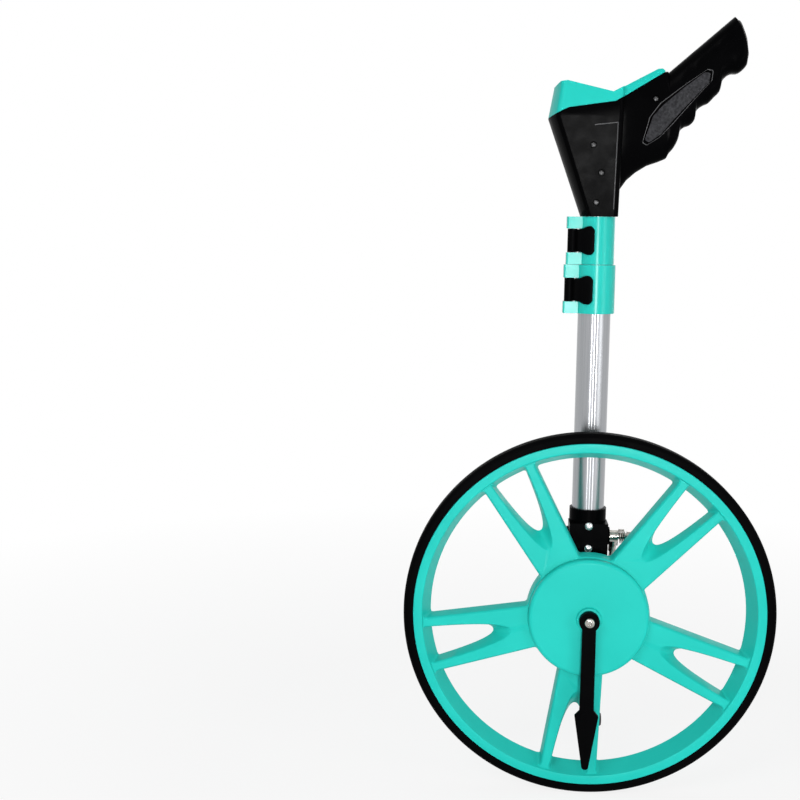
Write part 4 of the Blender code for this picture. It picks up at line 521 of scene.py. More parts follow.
def make_wheel(mats):
    wheel = rim_ring()
    web = turned("web", [(0.0145, WEB_FRONT), (rim_inner(WEB_FRONT) + 0.0015, WEB_FRONT),
                         (rim_inner(WEB_BACK) + 0.0015, WEB_BACK), (0.0145, WEB_BACK)], "Y", AXLE, 232)
    fuse(wheel, web)
    for index in range(SPOKES):
        cut(wheel, window_cutter(index), slot_cutter(index))
    core = turned("core", [(0.0205, WEB_FRONT + 0.0036), (0.048, WEB_FRONT + 0.0036),
                           (0.048, WEB_BACK + 0.004),
                           (0.0205, WEB_BACK + 0.004)], "Y", AXLE, 96)
    cut(wheel, core)
    barrel = turned("barrel", [(0.0113, -0.011), (0.0176, -0.011), (0.018, -0.0106), (0.018, 0.0111),
                               (0.0176, 0.0115),
                               (0.0113, 0.0115), (0.0113, 0.0042), (0.008, 0.0042), (0.008,
                                                                                     -0.0037), (0.0113, -0.0037)],
                    "Y", AXLE, 96)
    fuse(wheel, barrel)
    join_flats(wheel)
    wheel.data.shade_smooth()
    wheel.data.set_sharp_from_angle(angle=math.radians(30.0))
    finish_piece(wheel, "wheel_moulding", "wheel", mats["teal"])


def make_hub_cap(mats):
    front = -0.0143
    edge = 0.0035
    profile = [(0.0056, front - 0.0034), (0.0060, front - 0.0038), (0.0098, front - 0.0038),
               (0.0103, front - 0.0035),
               (0.0105, front - 0.0030), (0.0105, front - 0.0010), (0.0109, front - 0.0003), (0.0117,
                                                                                              front),
               (0.0514 - edge, front)]
    for step in range(1, 13):
        angle = math.pi / 2.0 * step / 12
        profile.append((0.0514 - edge + edge * math.sin(angle), front + edge - edge * math.cos(angle)))
    profile += [(0.0514, -0.0069), (0.0489, -0.0069), (0.0489, front + 0.0025), (0.0056, front + 0.0025)]
    item = even(turned("hub_cover", profile, "Y", AXLE, 160), 40.0)
    finish_piece(item, "hub_cap", "wheel", mats["teal"])


# Pointer

def make_pointer(mats):
    tip = -0.1313
    corners = [(-0.00575, 0.0), (-0.0061, -0.0788), (-0.0102, -0.0833), (-0.0026, tip), (0.0026, tip),
               (0.0102, -0.0833),
               (0.0061, -0.0788), (0.00575, 0.0)]
    radii = [0.0, 0.001, 0.0014, 0.0026, 0.0026, 0.0014, 0.001, 0.0]
    back = POINTER_BACK
    arm = prism("pointer_arm", rounded(corners, radii, 8), back - 0.0036, back - GAP, "Y", AXLE)
    item = rod("pointer_arrow", 0.0086, back - 0.0054, back, "Y", AXLE, 96)
    fuse(item, arm)
    cut(item, rod("pointer_bore", 0.0033, -0.03, 0.0, "Y", AXLE))
    soften(item, 0.0006, 3, 50.0)
    finish_piece(item, "pointer", "pointer", mats["matt_black"])


def make_pointer_screw(mats):
    seat = -0.0244
    item = solid_turned("pointer_screw_head", [(0.0026, seat - 0.0026), (0.0036, seat - 0.0023),
                                               (0.0042, seat - 0.0016),
                                              (0.0044, seat - 0.0008), (0.0044, seat), (0.0014,
                                                                                        seat), (0.0014, seat + 0.01)],
                        "Y", AXLE)
    socket = prism("socket", circle(0.0018, 6), seat - 0.005, seat - 0.0012, "Y", AXLE, 0)
    cut(item, socket)
    finish_piece(item, "pointer_screw", "frame", mats["nickel"])


# Bracket, tubes and clamps

def make_bracket(mats):
    front = BRACKET_FRONT
    half = 0.0168
    wheel_y = AXLE.y
    outline = [(half, 0.235), (-half, 0.235)]
    for step in range(33):
        angle = math.pi + math.pi * step / 32
        outline.append((half * math.cos(angle), AXLE.z + half * math.sin(angle)))
    tube = (0.0, TUBE_Y, 0.0)
    item = prism("bracket_moulding", outline, front, front + 0.020, "Y", (0.0, wheel_y, 0.0))
    socket = rod("socket", 0.016, 0.1925, 0.2462, "Z", tube, 96)
    boss = rod("boss", 0.0078, -0.018, 0.0195, "X", (0.0, TUBE_Y, STAND_BOLT_Z))
    fuse(item, socket, boss)
    inner = half - 0.004
    corners = [(inner, 0.1865), (-inner, 0.1865), (-inner, AXLE.z - inner), (inner, AXLE.z - inner)]
    pocket = prism("pocket", rounded(corners, [0.0036, 0.0036, inner - GAP, inner - GAP], 10),
                   front + 0.008, front + 0.024,
                   "Y", (0.0, wheel_y, 0.0))
    seat = block("sensor_seat", (-0.0053, wheel_y + front - 0.004, AXLE.z + 0.0227),
                 (0.0053, wheel_y + front + 0.0043, AXLE.z + 0.0373))
    holes = [rod("hole_%d" % k, 0.0021, 0.0, 0.028, "Y", (0.0, wheel_y, z))
             for k, z in enumerate(RIVET_HEIGHTS)]
    cut(item, rod("bore", 0.0143, 0.1982, 0.2502, "Z", tube, 96), pocket,
        rod("axle_hole", 0.0043, front - 0.004, front + 0.024, "Y", AXLE),
        rod("bolt_hole", 0.0031, -0.022, 0.0235, "X", (0.0, TUBE_Y, STAND_BOLT_Z)), seat, *holes)
    soften(item, 0.0006, 3, 40.0)
    finish_piece(item, "bracket", "frame", mats["black"])


def make_rivets(mats):
    inside = 0.0241
    face = BRACKET_FRONT - GAP
    for index, height in enumerate(RIVET_HEIGHTS):
        profile = []
        for step in range(7):
            angle = math.pi / 2.0 * step / 6
            profile.append((max(0.0036 * math.sin(angle), 0.0003), face - 0.0020 * math.cos(angle)))
        profile += [(0.0018, face), (0.0018, inside), (0.0024, inside), (0.0024, inside + 0.0012)]
        item = solid_turned("rivet_%d" % (index + 1), profile, "Y", (0.0, AXLE.y, height))
        finish_piece(item, "bracket_rivet_%d" % (index + 1), "frame", mats["steel"])


def tube_outline(radius, flute, depth, steps=160):
    points = []
    for step in range(steps):
        angle = 2.0 * math.pi * (step + 0.5) / steps - math.pi / 2.0
        x, y = radius * math.cos(angle), radius * math.sin(angle)
        if y < 0.0 and abs(x) < flute:
            y += depth * (0.5 + 0.5 * math.cos(math.pi * abs(x) / flute))
        points.append((x, y))
    return points


def make_tube(name, node, body, radius, flute, foot, top, mats):
    outer = tube_outline(radius, flute, 0.0007)
    inner = tube_outline(radius - 0.0011, flute + 0.0004, 0.0007)
    centre = (0.0, TUBE_Y, 0.0)
    rings = [[on_axis("Z", a, b, z, centre) for a, b in outer] for z in (foot, top)]
    item = loft(name, rings)
    cut(item, prism(name + "_bore", inner, foot - 0.004, top + 0.004, "Z", centre))
    finish_piece(item, node, body, mats["tube"])


def make_tubes(mats):
    make_tube("lower_tube_drawn", "lower_tube", "frame", LOWER_TUBE_R, 0.0026, 0.1985, 0.4374, mats)
    make_tube("middle_tube_drawn", "middle_tube", "middle", MIDDLE_TUBE_R, 0.0033, 0.2480, 0.4792, mats)
    make_tube("upper_tube_drawn", "upper_tube", "upper", UPPER_TUBE_R, 0.0040, 0.2520, 0.5317, mats)


def make_clamp(name, node, body, collar, base, lower, upper, mats):
    """A split collar on two tubes; the lower one reaches up to the upper one's foot."""
    top = base + CLAMP_H
    crown = UPPER_CLAMP_Z - GAP if node == "lower_clamp" else top
    centre = (0.0, TUBE_Y, 0.0)
    pin_x = -collar - 0.0054
    pin_y = TUBE_Y - 0.0040
    item = rod(name, collar, base, crown, "Z", centre, 128)
    back = pin_y + 0.0080
    corners = [(pin_x - 0.005, pin_y - 0.0045), (0.0, pin_y - 0.0045), (0.0, back), (pin_x - 0.005, back)]
    outline = rounded(corners, [0.0014, 0.0, 0.0, 0.0014], 6)
    fuse(item, prism("ear_low", outline, base, base + 0.010, "Z"),
         prism("ear_high", outline, top - 0.010, crown, "Z"))
    cut(item, rod("bore_low", lower + GAP, base - 0.004, base + 0.0205, "Z", centre, 128),
        rod("bore_high", upper + GAP, base + 0.0162, top + 0.004, "Z", centre, 128),
        block("split", (pin_x - 0.009, pin_y + 0.0031, base - 0.004),
              (-lower / 2, pin_y + 0.0045, top + 0.004)),
        rod("pin_hole", 0.0017, base - 0.004, top + 0.004, "Z", (pin_x, pin_y, 0.0)),
        rod("head_seat", 0.0029, top - 0.0015, top + 0.004, "Z", (pin_x, pin_y, 0.0)))
    soften(item, 0.0005, 3, 40.0)
    finish_piece(item, node, body, mats["gloss"])


def flare(share):
    swell = 0.5 - 0.5 * math.cos(math.pi * min(max(share - 0.3, 0.0) / 0.45, 1.0))
    return swell - 1.3 * (max(share - 0.8, 0.0) / 0.2) ** 2


def make_lever(name, node, body, collar, base, mats):
    """A knuckle on the clamp's pin, and a blade that follows the collar and flares to its end."""
    pin_x = -collar - 0.0054
    pin_y = TUBE_Y - 0.0040
    low = base + 0.0102
    high = base + 0.0302
    item = rod(name, 0.0042, low, high, "Z", (pin_x, pin_y, 0.0), 64)
    inner = collar + 0.0006
    start = math.degrees(math.atan2(-0.0040, pin_x)) % 360.0 - 360.0 + 4.0
    rings = []
    for step in range(41):
        share = step / 40
        angle = math.radians(start + (-100.0 - start) * share)
        tall = 0.0096 + 0.0026 * flare(share)
        outer = inner + 0.0034 * (1.0 - 0.45 * share ** 2)
        ring = []
        for radius, along in ((inner, -tall), (outer - 0.0008, -tall + 0.0002), (outer, -tall + 0.0012),
                              (outer, tall - 0.0012),
                              (outer - 0.0008, tall - 0.0002), (inner, tall)):
            ring.append(Vector((radius * math.cos(angle), TUBE_Y + radius * math.sin(angle),
                                base + 0.0202 + along)))
        rings.append(ring)
    fuse(item, loft("plate", rings))
    cut(item, rod("bore", 0.0017, low - 0.004, high + 0.004, "Z", (pin_x, pin_y, 0.0)))
    soften(item, 0.0004, 2, 50.0)
    finish_piece(item, node, body, mats["matt_black"])


def make_clamps(mats):
    make_clamp("lower_collar", "lower_clamp", "frame", LOWER_COLLAR_R, LOWER_CLAMP_Z, LOWER_TUBE_R,
               MIDDLE_TUBE_R, mats)
    make_clamp("upper_collar", "upper_clamp", "middle", UPPER_COLLAR_R, UPPER_CLAMP_Z, MIDDLE_TUBE_R,
               UPPER_TUBE_R, mats)
    make_lever("lower_lever_blade", "lower_clamp_lever", "lower_lever", LOWER_COLLAR_R, LOWER_CLAMP_Z, mats)
    make_lever("upper_lever_blade", "upper_clamp_lever", "upper_lever", UPPER_COLLAR_R, UPPER_CLAMP_Z, mats)


# Stand

def make_stand(mats):
    """The leg leans in from its knuckle, and its short foot stays behind the lower spoke."""
    pivot = Vector(JOINTS["stand_swing"]["pos_m"])
    low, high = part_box("stand_foot_bar")
    foot = Vector((pivot.x - 0.0058, (low[1] + high[1]) / 2.0, (low[2] + high[2]) / 2.0))
    along = (foot - pivot).normalized()
    knuckle = rod("stand_knuckle_fine", 0.0052, pivot.x - 0.0035, pivot.x + 0.0035, "X",
                  (0.0, pivot.y, pivot.z))
    fuse(knuckle, bar("socket", pivot, pivot + along * 0.0162, 0.0035))
    cut(knuckle, bar("socket_bore", pivot + along * 0.0052, pivot + along * 0.0202, 0.0027),
        rod("bolt_bore", 0.0031, pivot.x - 0.0075, pivot.x + 0.0075, "X", (0.0, pivot.y, pivot.z)))
    soften(knuckle, 0.0005, 2, 40.0)
    finish_piece(knuckle, "stand_knuckle", "stand", mats["nickel"])
    leg = bar("stand_leg", pivot + along * 0.0055, foot - along * 0.0034, 0.0024)
    finish_piece(leg, "stand_rod", "stand", mats["nickel"])
    sleeve = bar("stand_sleeve_fine", foot - along * 0.046, foot + along * 0.0042, 0.0056)
    cut(sleeve, bar("sleeve_bore", foot - along * 0.050, foot - along * 0.0031, 0.0027),
        rod("foot_hole", 0.0025, pivot.x - 0.020, pivot.x + 0.010, "X", (0.0, foot.y, foot.z)))
    soften(sleeve, 0.0010, 3, 40.0)
    finish_piece(sleeve, "stand_sleeve", "stand", mats["sleeve"])
    centre = (0.0, foot.y, foot.z)
    finish_piece(rod("foot_bar_fine", 0.0022, foot.x - 0.0085, foot.x + 0.0085, "X", centre),
                 "stand_foot_bar", "stand",
                 mats["black"])
    for side, sign in (("left", -1.0), ("right", 1.0)):
        mouth, end = foot.x + sign * 0.0060, foot.x + sign * 0.0110
        profile = [(0.0056, mouth), (0.0064, mouth + sign * 0.0008), (0.0064, end - sign * 0.0008),
                   (0.0056, end)]
        item = solid_turned("foot_tip_fine_" + side, profile, "X", centre, 48)
        cut(item, rod("tip_bore", 0.0025, foot.x - 0.0088, foot.x + 0.0088, "X", centre))
        finish_piece(item, "stand_foot_tip_" + side, "stand", mats["rubber"])


# Head

SEAM = ((-0.480, 0.390), (-0.261, 0.498), (-0.171, 0.541), (0.063, 0.573), (0.312, 0.726), (0.420, 0.792))
CREST = ((0.313, 0.731), (0.300, 0.744), (0.278, 0.743), (0.049, 0.621), (-0.180, 0.676), (-0.215, 0.672),
         (-0.236, 0.655),
         (-0.480, 0.560))
UNDERSIDE = ((-0.020, 0.150), (0.104, 0.132), (0.140, 0.185), (0.185, 0.225), (0.240, 0.260),
             (0.300, 0.281),
             (0.335, 0.296), (0.350, 0.322), (0.374, 0.352), (0.393, 0.392), (0.401, 0.434), (0.424, 0.456),
             (0.452, 0.467), (0.472, 0.490), (0.476, 0.526), (0.492, 0.550), (0.518, 0.567), (0.540, 0.577),
             (0.566, 0.605), (0.592, 0.634), (0.602, 0.682), (0.624, 0.710), (0.650, 0.724), (0.686, 0.728),
             (0.722, 0.764), (0.728, 0.806), (0.722, 0.870))
WIDTH_TOP = (1.40, 1.46, 1.50, 1.42, 1.28, 1.10, 1.0)
WIDTH_BOTTOM = (0.85, 0.90, 0.95, 0.95, 0.95, 0.96, 0.98)
END_WIDTH = (1.0, 0.94, 0.70)
INLAY = ((0.213, 0.380), (0.228, 0.432), (0.248, 0.502), (0.300, 0.566), (0.404, 0.651), (0.512, 0.730),
         (0.540, 0.725),
         (0.534, 0.676), (0.446, 0.580), (0.357, 0.478), (0.296, 0.408), (0.236, 0.368))
SCREWS = ((-0.041, 0.358), (0.004, 0.219), (0.268, 0.592), (-0.016, 0.070))
GRIP = 0.0152


def hp(shares):
    return (shares[0] * HEAD_L, HEAD_Z + shares[1] * HEAD_H)


def pod_section(left, right, half, bow, height, inset):
    """One level of the pod: a box whose left side bows out."""
    low = left + inset
    high = right - inset
    deep = half - inset
    radius = (deep ** 2 + bow ** 2) / (2.0 * bow)
    spread = math.asin(min(deep / radius, 1.0))
    corners = [(low + bow, -deep), (high, -deep), (high, deep), (low + bow, deep)]
    for step in range(1, 8):
        angle = spread - 2.0 * spread * step / 8
        corners.append((low + radius - radius * math.cos(angle), radius * math.sin(angle)))
    firm = max(0.004 - inset, GAP)
    soft = max(0.0046 - inset, GAP)
    outline = rounded(corners, [soft, firm, firm, soft] + [0.0] * 7, 8)
    return [on_axis("Z", a, b, HEAD_Z + height, (0.0, TUBE_Y, 0.0)) for a, b in outline]


def pod_loft(name, inset=0.0, foot=0.0):
    share = foot / 0.0815
    rings = [
        pod_section(-0.0146 - 0.0295 * share, 0.0165 + 0.0007 * share, 0.0163 + 0.0105 * share, 0.0065,
                    foot,
                    inset),
        pod_section(-0.0441, 0.0172, 0.0268, 0.0065, 0.0815, inset),
        pod_section(-0.0397, 0.0172, 0.0254, 0.0055, 0.1066, inset),
        pod_section(-0.0397, 0.0172, 0.0254, 0.0055, 0.1300, inset),
    ]
    return loft(name, rings)


def handle_sections():
    """Top, bottom and half widths of the handle's sections, from the pod to the grip's end."""
    bottoms = [Vector(hp(shares)) for shares in UNDERSIDE]
    start = Vector(hp((0.010, 0.640)))
    cover = Vector(hp((0.318, 0.790)))
    grip = Vector(hp((0.333, 0.727)))
    end = Vector(hp((0.652, 1.004)))
    blend = len(WIDTH_TOP)
    rounding = len(END_WIDTH) - 1
    last = len(bottoms) - 1 - rounding
    along = (end - grip).normalized()
    first_reach = (bottoms[blend] - grip).dot(along)
    last_reach = (bottoms[last] - grip).dot(along)
    sections = []
    for index, bottom in enumerate(bottoms):
        high = low = GRIP
        if index < blend:
            top = start.lerp(cover, index / (blend - 1))
            high = GRIP * WIDTH_TOP[index]
            low = GRIP * WIDTH_BOTTOM[index]
        elif index <= last:
            share = ((bottom - grip).dot(along) - first_reach) / (last_reach - first_reach)
            top = grip.lerp(end, max(min(share, 1.0), 0.0))
        else:
            top = end + along * 0.0026 * (index - last) / rounding
            top = top.lerp(bottom, 0.09 * (index - last))
            high = low = GRIP * END_WIDTH[index - last]
        sections.append((top, bottom, high, low))
    return sections


def smooth_sections(sections, between=4):
    """More sections between the given ones, on a soft curve, from the grip's first groove on."""
    fine = []
    first = len(WIDTH_TOP) - 1
    last = len(sections) - len(END_WIDTH)
    for index in range(len(sections) - 1):
        here, there = sections[index], sections[index + 1]
        if index < first or index >= last:
            fine.append(here)
            continue
        before = sections[index - 1]
        after = sections[index + 2]
        for step in range(between):
            t = step / between
            point = []
            for part in (0, 1):
                p0, p1, p2, p3 = (Vector(row[part]) for row in (before, here, there, after))
                if part == 0:
                    point.append(p1.lerp(p2, t))
                    continue
                point.append(0.5 * (2 * p1 + (p2 - p0) * t + (2 * p0 - 5 * p1 + 4 * p2 - p3) * t * t
                                    + (3 * p1 - p0 - 3 * p2 + p3) * t * t * t))
            fine.append((point[0], point[1], here[2] + (there[2] - here[2]) * t,
                         here[3] + (there[3] - here[3]) * t))
    fine.append(sections[-1])
    return fine


def handle_loft(name, inset=0.0, corners=48):
    rings = []
    for top, bottom, high, low in smooth_sections(handle_sections()):
        middle = (top + bottom) / 2.0
        reach = (top - bottom) / 2.0
        size = (reach.length - inset) / reach.length
        ring = []
        for step in range(corners):
            angle = 2.0 * math.pi * (step + 0.5) / corners
            rise = math.copysign(abs(math.cos(angle)) ** 0.6667, math.cos(angle))
            side = math.copysign(abs(math.sin(angle)) ** 0.6667, math.sin(angle))
            width = (low + (high - low) * (rise + 1.0) / 2.0 - inset) * side
            place = middle + reach * size * rise
            ring.append(Vector((place.x, TUBE_Y + width, place.y)))
        rings.append(ring)
    return loft(name, rings, 40.0)


def slab(name, outline):
    return prism(name, outline, -0.031, 0.031, "Y", (0.0, TUBE_Y, 0.0), 0)


def below_seam():
    seam = [hp(shares) for shares in SEAM]
    low = HEAD_Z - 0.004
    return slab("below", [(seam[0][0], low), (HEAD_L, low), (HEAD_L, seam[-1][1])]
                + [(x, z + GAP) for x, z in seam[::-1]])


def above_crest():
    crest = [hp(shares) for shares in CREST]
    corner = hp(SEAM[-2])
    side = hp(SEAM[-1])
    top = HEAD_Z + HEAD_H + 0.004
    return slab("above", [corner, (HEAD_L, side[1] - 0.0078), (HEAD_L, top), (crest[-1][0], top)]
                + crest[::-1])


def above_seam():
    seam = [hp(shares) for shares in SEAM[:-1]]
    end = hp((0.333, 0.727))
    top = HEAD_Z + 0.134
    return slab("above_seam", seam + [(end[0], end[1] + GAP), (end[0], top), (seam[0][0], top)])


def half_space(front):
    low, high = (-0.031, -GAP / 2) if front else (GAP / 2, 0.031)
    return block("half", (-HEAD_L, TUBE_Y + low, HEAD_Z - 0.004), (HEAD_L, TUBE_Y + high, HEAD_Z + 0.3))


def cavity():
    """The room for boards and cells inside the head."""
    room = pod_loft("room", 0.0026, 0.040)
    low, right = hp((0.0, 0.36)), hp((0.255, 0.36))
    top = HEAD_Z + 0.130
    half = GRIP - 0.0039
    side = prism("side_room", [low, (right[0] - 0.0104, low[1]), (right[0], hp((0.0, 0.62))[1]),
                               (right[0], top), (low[0], top)],
                 -half, half, "Y", (0.0, TUBE_Y, 0.0), 0)
    fuse(room, side)
    crest = [hp(shares) for shares in CREST[2:]]
    floor = HEAD_Z + 0.036
    skin = 0.00286
    limit = slab("limit", [(crest[-1][0], floor), (crest[0][0], floor)] + [(x, z - skin) for x, z in crest])
    return keep_inside(room, limit)


def inlay_prism(name, grow, front):
    corners = [hp(shares) for shares in INLAY]
    mx = sum(x for x, z in corners) / len(corners)
    mz = sum(z for x, z in corners) / len(corners)
    outline = []
    for x, z in corners:
        reach = math.hypot(x - mx, z - mz)
        outline.append((mx + (x - mx) * (reach + grow) / reach, mz + (z - mz) * (reach + grow) / reach))
    low, high = (-0.0268, -0.0076) if front else (0.0076, 0.0268)
    return prism(name, rounded(outline, [0.0015] * len(outline), 4), low, high, "Y", (0.0, TUBE_Y, 0.0), 0)


def make_inlays(mats):
    for front, node in ((True, "grip_inlay_front"), (False, "grip_inlay_rear")):
        item = inlay_prism(node + "_pad", -0.0014, front)
        keep_inside(item, handle_loft("skin", -0.0005))
        cut(item, handle_loft("floor", 0.0011))
        soften(item, 0.0003, 2, 40.0)
        finish_piece(item, node, "upper", mats["grey"])
        # The raised lip round the pad is drawn in the lighter edge black: a painted highlight outline
        lip = inlay_prism(node + "_lip", 0.0019, front)
        cut(lip, inlay_prism("lip_inside", 0.0011, front))
        keep_inside(lip, handle_loft("lip_skin", -0.0004))
        cut(lip, handle_loft("lip_floor", 0.0003))
        finish_piece(lip, None, "upper", mats["edge"])


def surface_depth(x, z):
    share = min((z - HEAD_Z) / 0.0815, 1.0)
    return 0.0163 + 0.0105 * share if x < 0.0172 else GRIP


def make_shells(mats):
    for front, node in ((True, "head_front_shell"), (False, "head_rear_shell")):
        item = pod_loft(node + "_moulding")
        fuse(item, handle_loft("handle"))
        cut(item, above_seam())
        keep_inside(item, half_space(front))
        cut(item, cavity())
        cut(item, rod("tube_bore", 0.0111, HEAD_Z - 0.004, HEAD_Z + 0.0323, "Z", (0.0, TUBE_Y, 0.0), 96))
        seat = inlay_prism("seat", 0.0011, front)
        cut(seat, handle_loft("floor", 0.0014))
        cut(item, seat)
        if front:
            for x, z in (hp(shares) for shares in SCREWS):
                depth = surface_depth(x, z)
                cut(item, rod("screw_seat", 0.0028, -depth - 0.004, -depth + 0.0019, "Y", (x, TUBE_Y, z)))
                cut(item, rod("screw_hole", 0.0016, -depth - 0.004, -depth + 0.006, "Y", (x, TUBE_Y, z)))
        else:
            cx, cz = -0.0441 / 4, HEAD_Z + 0.0776 - 0.0026
            cut(item, block("door_hole", (cx - 0.0153, TUBE_Y + 0.0134, cz - 0.0113),
                            (cx + 0.0153, TUBE_Y + 0.031, cz + 0.0113)))
        soften(item, 0.0005, 2, 38.0)
        finish_piece(item, node, "upper", mats["black"])


def make_panel_highlight_line(mats):
    """The thin raised line beside the pod's right edge, drawn in a lighter black: a painted highlight line."""
    places = []
    for x, height in ((0.0120, 0.0060), (0.0125, 0.0770), (-0.0065, 0.0750)):
        places.append(Vector((x, TUBE_Y - surface_depth(x, HEAD_Z + height), HEAD_Z + height)))
    item = bar("panel_highlight_line", places[0], places[1], 0.00045, 12)
    fuse(item, bar("panel_highlight_line_top", places[1], places[2], 0.00045, 12))
    finish_piece(item, None, "upper", mats["edge"])


def slope(first, second):
    start = Vector(hp(CREST[first]))
    end = Vector(hp(CREST[second]))
    along = (end - start).normalized()
    normal = Vector((-along.y, along.x))
    if normal.y < 0.0:
        normal = -normal
    return start, end, along, normal


def slab_on_slope(name, start, along, normal, low, high, half, bottom, top):
    corners = []
    for reach, rise in ((low, bottom), (high, bottom), (high, top), (low, top)):
        place = start + along * reach + normal * rise
        corners.append((place.x, place.y))
    return prism(name, corners, -half, half, "Y", (0.0, TUBE_Y, 0.0), 0)


def make_cover(mats):
    item = pod_loft("display_lid")
    fuse(item, handle_loft("handle"))
    cut(item, above_crest())
    cut(item, below_seam())
    cut(item, cavity())
    start, end, along, normal = slope(3, 4)
    centre = (end - start).length * 0.47
    cut(item, slab_on_slope("opening", start, along, normal, centre - 0.012, centre + 0.012, 0.017, -0.0078,
                            0.004),
        slab_on_slope("seat", start, along, normal, centre - 0.0153, centre + 0.0153, 0.0203, -0.0018,
                      0.004))
    for index in range(3):
        place, outward = button_place(index)
        cut(item, bar("button_hole", place - outward * 0.0078, place + outward * 0.004, 0.0047))
    soften(item, 0.0005, 3, 35.0)
    finish_piece(item, "display_cover", "upper", mats["teal"])


def bar(name, start, end, radius, steps=48):
    direction = (end - start).normalized()
    side = direction.orthogonal().normalized()
    other = direction.cross(side)
    rings = []
    for place in (start, end):
        rings.append([place + (side * math.cos(2 * math.pi * k / steps) + other
                               * math.sin(2 * math.pi * k / steps)) * radius
                      for k in range(steps)])
    return loft(name, rings)


def button_place(index):
    start, end, along, normal = slope(3, 2)
    reach = (end - start).length * 0.19 + 0.0106 * index
    place = start + along * reach
    return Vector((place.x, TUBE_Y, place.y)), Vector((normal.x, 0.0, normal.y))


def make_buttons(mats):
    for index, body in enumerate(("button_one", "button_two", "button_three")):
        place, outward = button_place(index)
        item = bar("button_cap_%d" % (index + 1), place - outward * 0.0039, place - outward * 0.0001,
                   0.0044)
        fuse(item, bar("flange", place - outward * 0.0044, place - outward * 0.0034, 0.0052))
        soften(item, 0.0005, 3, 40.0)
        finish_piece(item, "button_%d" % (index + 1), body, mats["button"])


def make_head_screws(mats):
    for index, (x, z) in enumerate(hp(shares) for shares in SCREWS):
        head = -surface_depth(x, z) + 0.0016
        profile = [(0.0014, head - 0.0014), (0.0020, head - 0.0012), (0.0025, head - 0.0007),
                   (0.0025, head), (0.0013, head),
                   (0.0013, head + 0.004)]
        item = solid_turned("head_screw_fine_%d" % (index + 1), profile, "Y", (x, TUBE_Y, z), 32)
        cross = block("cross_a", (x - 0.0016, TUBE_Y + head - 0.003, z - 0.0003),
                      (x + 0.0016, TUBE_Y + head - 0.0007, z + 0.0003))
        other = block("cross_b", (x - 0.0003, TUBE_Y + head - 0.003, z - 0.0016),
                      (x + 0.0003, TUBE_Y + head - 0.0007, z + 0.0016))
        cut(item, cross, other)
        finish_piece(item, "head_screw_%d" % (index + 1), "upper", mats["screw"])


def make_head(mats):
    make_shells(mats)
    make_inlays(mats)
    make_panel_highlight_line(mats)
    make_cover(mats)
    make_buttons(mats)
    make_head_screws(mats)


# What keeps its solid's shape

def paint_rest(mats):
    table = {
        "steel": ("axle", "front_spacer", "rear_spacer", "axle_washer", "axle_nut",
                  "bearing_front", "bearing_rear", "counter_magnet_ring"),
        "black": ("battery_door",),
        "screw": ("lower_clamp_pin", "upper_clamp_pin"),
        "nickel": ("stand_bolt", "stand_nut", "stand_spring"),
        "screen": ("display_window",),
        "panel": ("display_panel",),
        "board": ("counter_sensor", "main_board", "switch_board"),
        "cell": ("battery_1", "battery_2"),
    }
    for key, names in table.items():
        for name in names:
            node = NODES[name]
            node.data.materials.clear()
            node.data.materials.append(mats[key])


# Light, backdrop and camera

def background_rays(tree):
    """One for the rays that show the background: the camera's, and those of gloss and glass."""
    path = tree.nodes.new("ShaderNodeLightPath")
    total = path.outputs["Is Camera Ray"]
    for kind in ("Is Glossy Ray", "Is Transmission Ray"):
        step = tree.nodes.new("ShaderNodeMath")
        step.operation = "MAXIMUM"
        tree.links.new(total, step.inputs[0])
        tree.links.new(path.outputs[kind], step.inputs[1])
        total = step.outputs["Value"]
    return total


def mixed(tree, factor, first, second):
    made = tree.nodes.new("ShaderNodeMixShader")
    tree.links.new(factor, made.inputs["Fac"])
    tree.links.new(first, made.inputs[1])
    tree.links.new(second, made.inputs[2])
    return made.outputs["Shader"]


def world_light():
    world = bpy.data.worlds.new("studio")
    bpy.context.scene.world = world
    world.use_nodes = True
    tree = world.node_tree
    tree.nodes.clear()
    seen = tree.nodes.new("ShaderNodeBackground")
    seen.inputs["Color"].default_value = (1.0, 1.0, 1.0, 1.0)
    seen.inputs["Strength"].default_value = 1.0
    lit = tree.nodes.new("ShaderNodeBackground")
    lit.inputs["Color"].default_value = (0.95, 0.98, 1.0, 1.0)
    lit.inputs["Strength"].default_value = 0.28
    out = tree.nodes.new("ShaderNodeOutputWorld")
    both = mixed(tree, background_rays(tree), lit.outputs["Background"], seen.outputs["Background"])
    tree.links.new(both, out.inputs["Surface"])


def make_floor():
    """A pale round floor that keeps the object's shadow and fades into the white of the world."""
    mat = bpy.data.materials.new("pale_floor")
    mat.use_nodes = True
    tree = mat.node_tree
    tree.nodes.clear()
    plain = tree.nodes.new("ShaderNodeBsdfDiffuse")
    plain.inputs["Color"].default_value = (0.85, 0.85, 0.85, 1.0)
    glow = tree.nodes.new("ShaderNodeEmission")
    glow.inputs["Strength"].default_value = 1.0
    reach = tree.nodes.new("ShaderNodeVectorMath")
    reach.operation = "LENGTH"
    tree.links.new(coordinates(tree), reach.inputs[0])
    share = ramp(tree, reach.outputs["Value"], 0.84, 1.0, 0.35, 1.1)
    seen = mixed(tree, share, plain.outputs["BSDF"], glow.outputs["Emission"])
    out = tree.nodes.new("ShaderNodeOutputMaterial")
    tree.links.new(mixed(tree, background_rays(tree), plain.outputs["BSDF"], seen), out.inputs["Surface"])
    floor = prism("floor", circle(2.2, 96), -0.0103, -0.0003, "Z")
    floor.data.materials.append(mat)


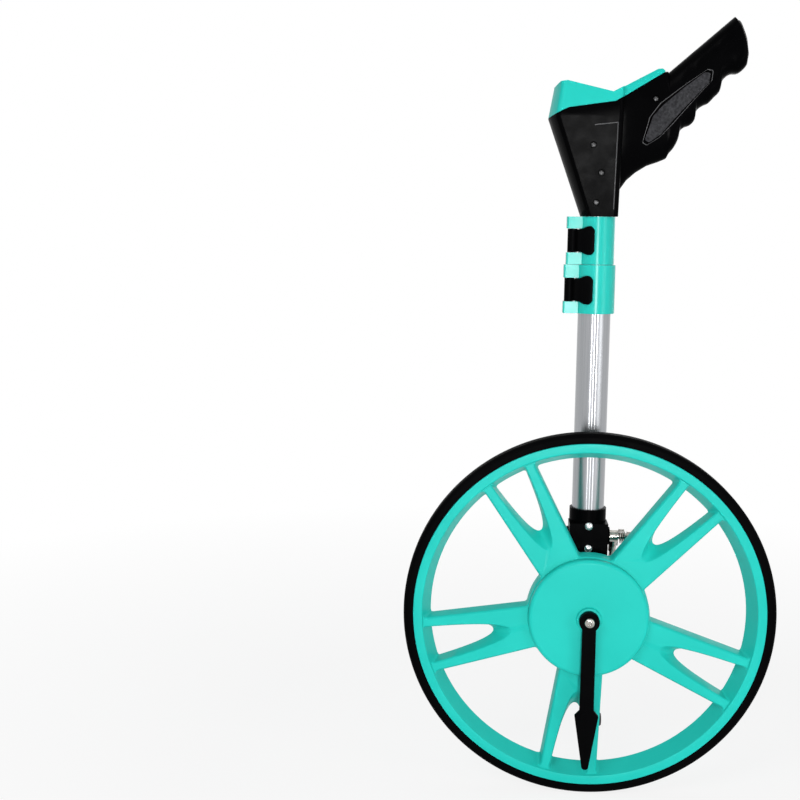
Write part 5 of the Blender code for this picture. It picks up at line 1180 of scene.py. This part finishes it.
def area(name, place, target, size, power):
    data = bpy.data.lights.new(name, "AREA")
    data.shape = "RECTANGLE"
    data.size, data.size_y = size
    data.energy = power
    item = bpy.data.objects.new(name, data)
    bpy.context.scene.collection.objects.link(item)
    item.location = place
    item.rotation_euler = (Vector(target) - Vector(place)).to_track_quat("-Z", "Y").to_euler()


def make_camera():
    yaw, pitch, roll = math.radians(-4.2), math.radians(7.65), math.radians(0.70)
    place = Vector((-0.0873, -1.0553 + AXLE.y, 0.4845))
    forward = Vector((math.sin(yaw) * math.cos(pitch), math.cos(yaw) * math.cos(pitch), -math.sin(pitch)))
    right = Vector((math.cos(yaw), -math.sin(yaw), 0.0))
    up = right.cross(forward)
    turned_right = right * math.cos(roll) + up * math.sin(roll)
    turned_up = up * math.cos(roll) - right * math.sin(roll)
    data = bpy.data.cameras.new("camera")
    data.lens = 56.25
    data.sensor_width = 36.0
    item = bpy.data.objects.new("camera", data)
    bpy.context.scene.collection.objects.link(item)
    rows = [(turned_right[k], turned_up[k], -forward[k], place[k]) for k in range(3)]
    item.matrix_world = Matrix(rows + [(0.0, 0.0, 0.0, 1.0)])
    bpy.context.scene.camera = item


def main():
    mats = make_materials()
    make_tyre(mats)
    make_wheel(mats)
    make_hub_cap(mats)
    make_pointer(mats)
    make_pointer_screw(mats)
    make_bracket(mats)
    make_rivets(mats)
    make_tubes(mats)
    make_clamps(mats)
    make_stand(mats)
    make_head(mats)
    paint_rest(mats)
    world_light()
    make_floor()
    area("key", (-0.9, -1.6, 1.5), (0.0, 0.0, 0.35), (0.9, 0.9), 13.5)
    area("fill", (1.3, -1.2, 0.6), (0.0, 0.0, 0.35), (0.6, 1.4), 7.0)
    area("front", (0.15, -2.1, 0.26), (0.0, 0.0, 0.35), (0.24, 0.5), 20.0)
    area("back", (0.7, 1.7, 0.9), (0.0, 0.0, 0.35), (1.3, 1.0), 4.0)
    area("top", (0.0, 0.3, 1.9), (0.0, 0.0, 0.3), (1.4, 1.0), 3.0)
    make_camera()
    bpy.context.scene.view_settings.view_transform = "Standard"


main()
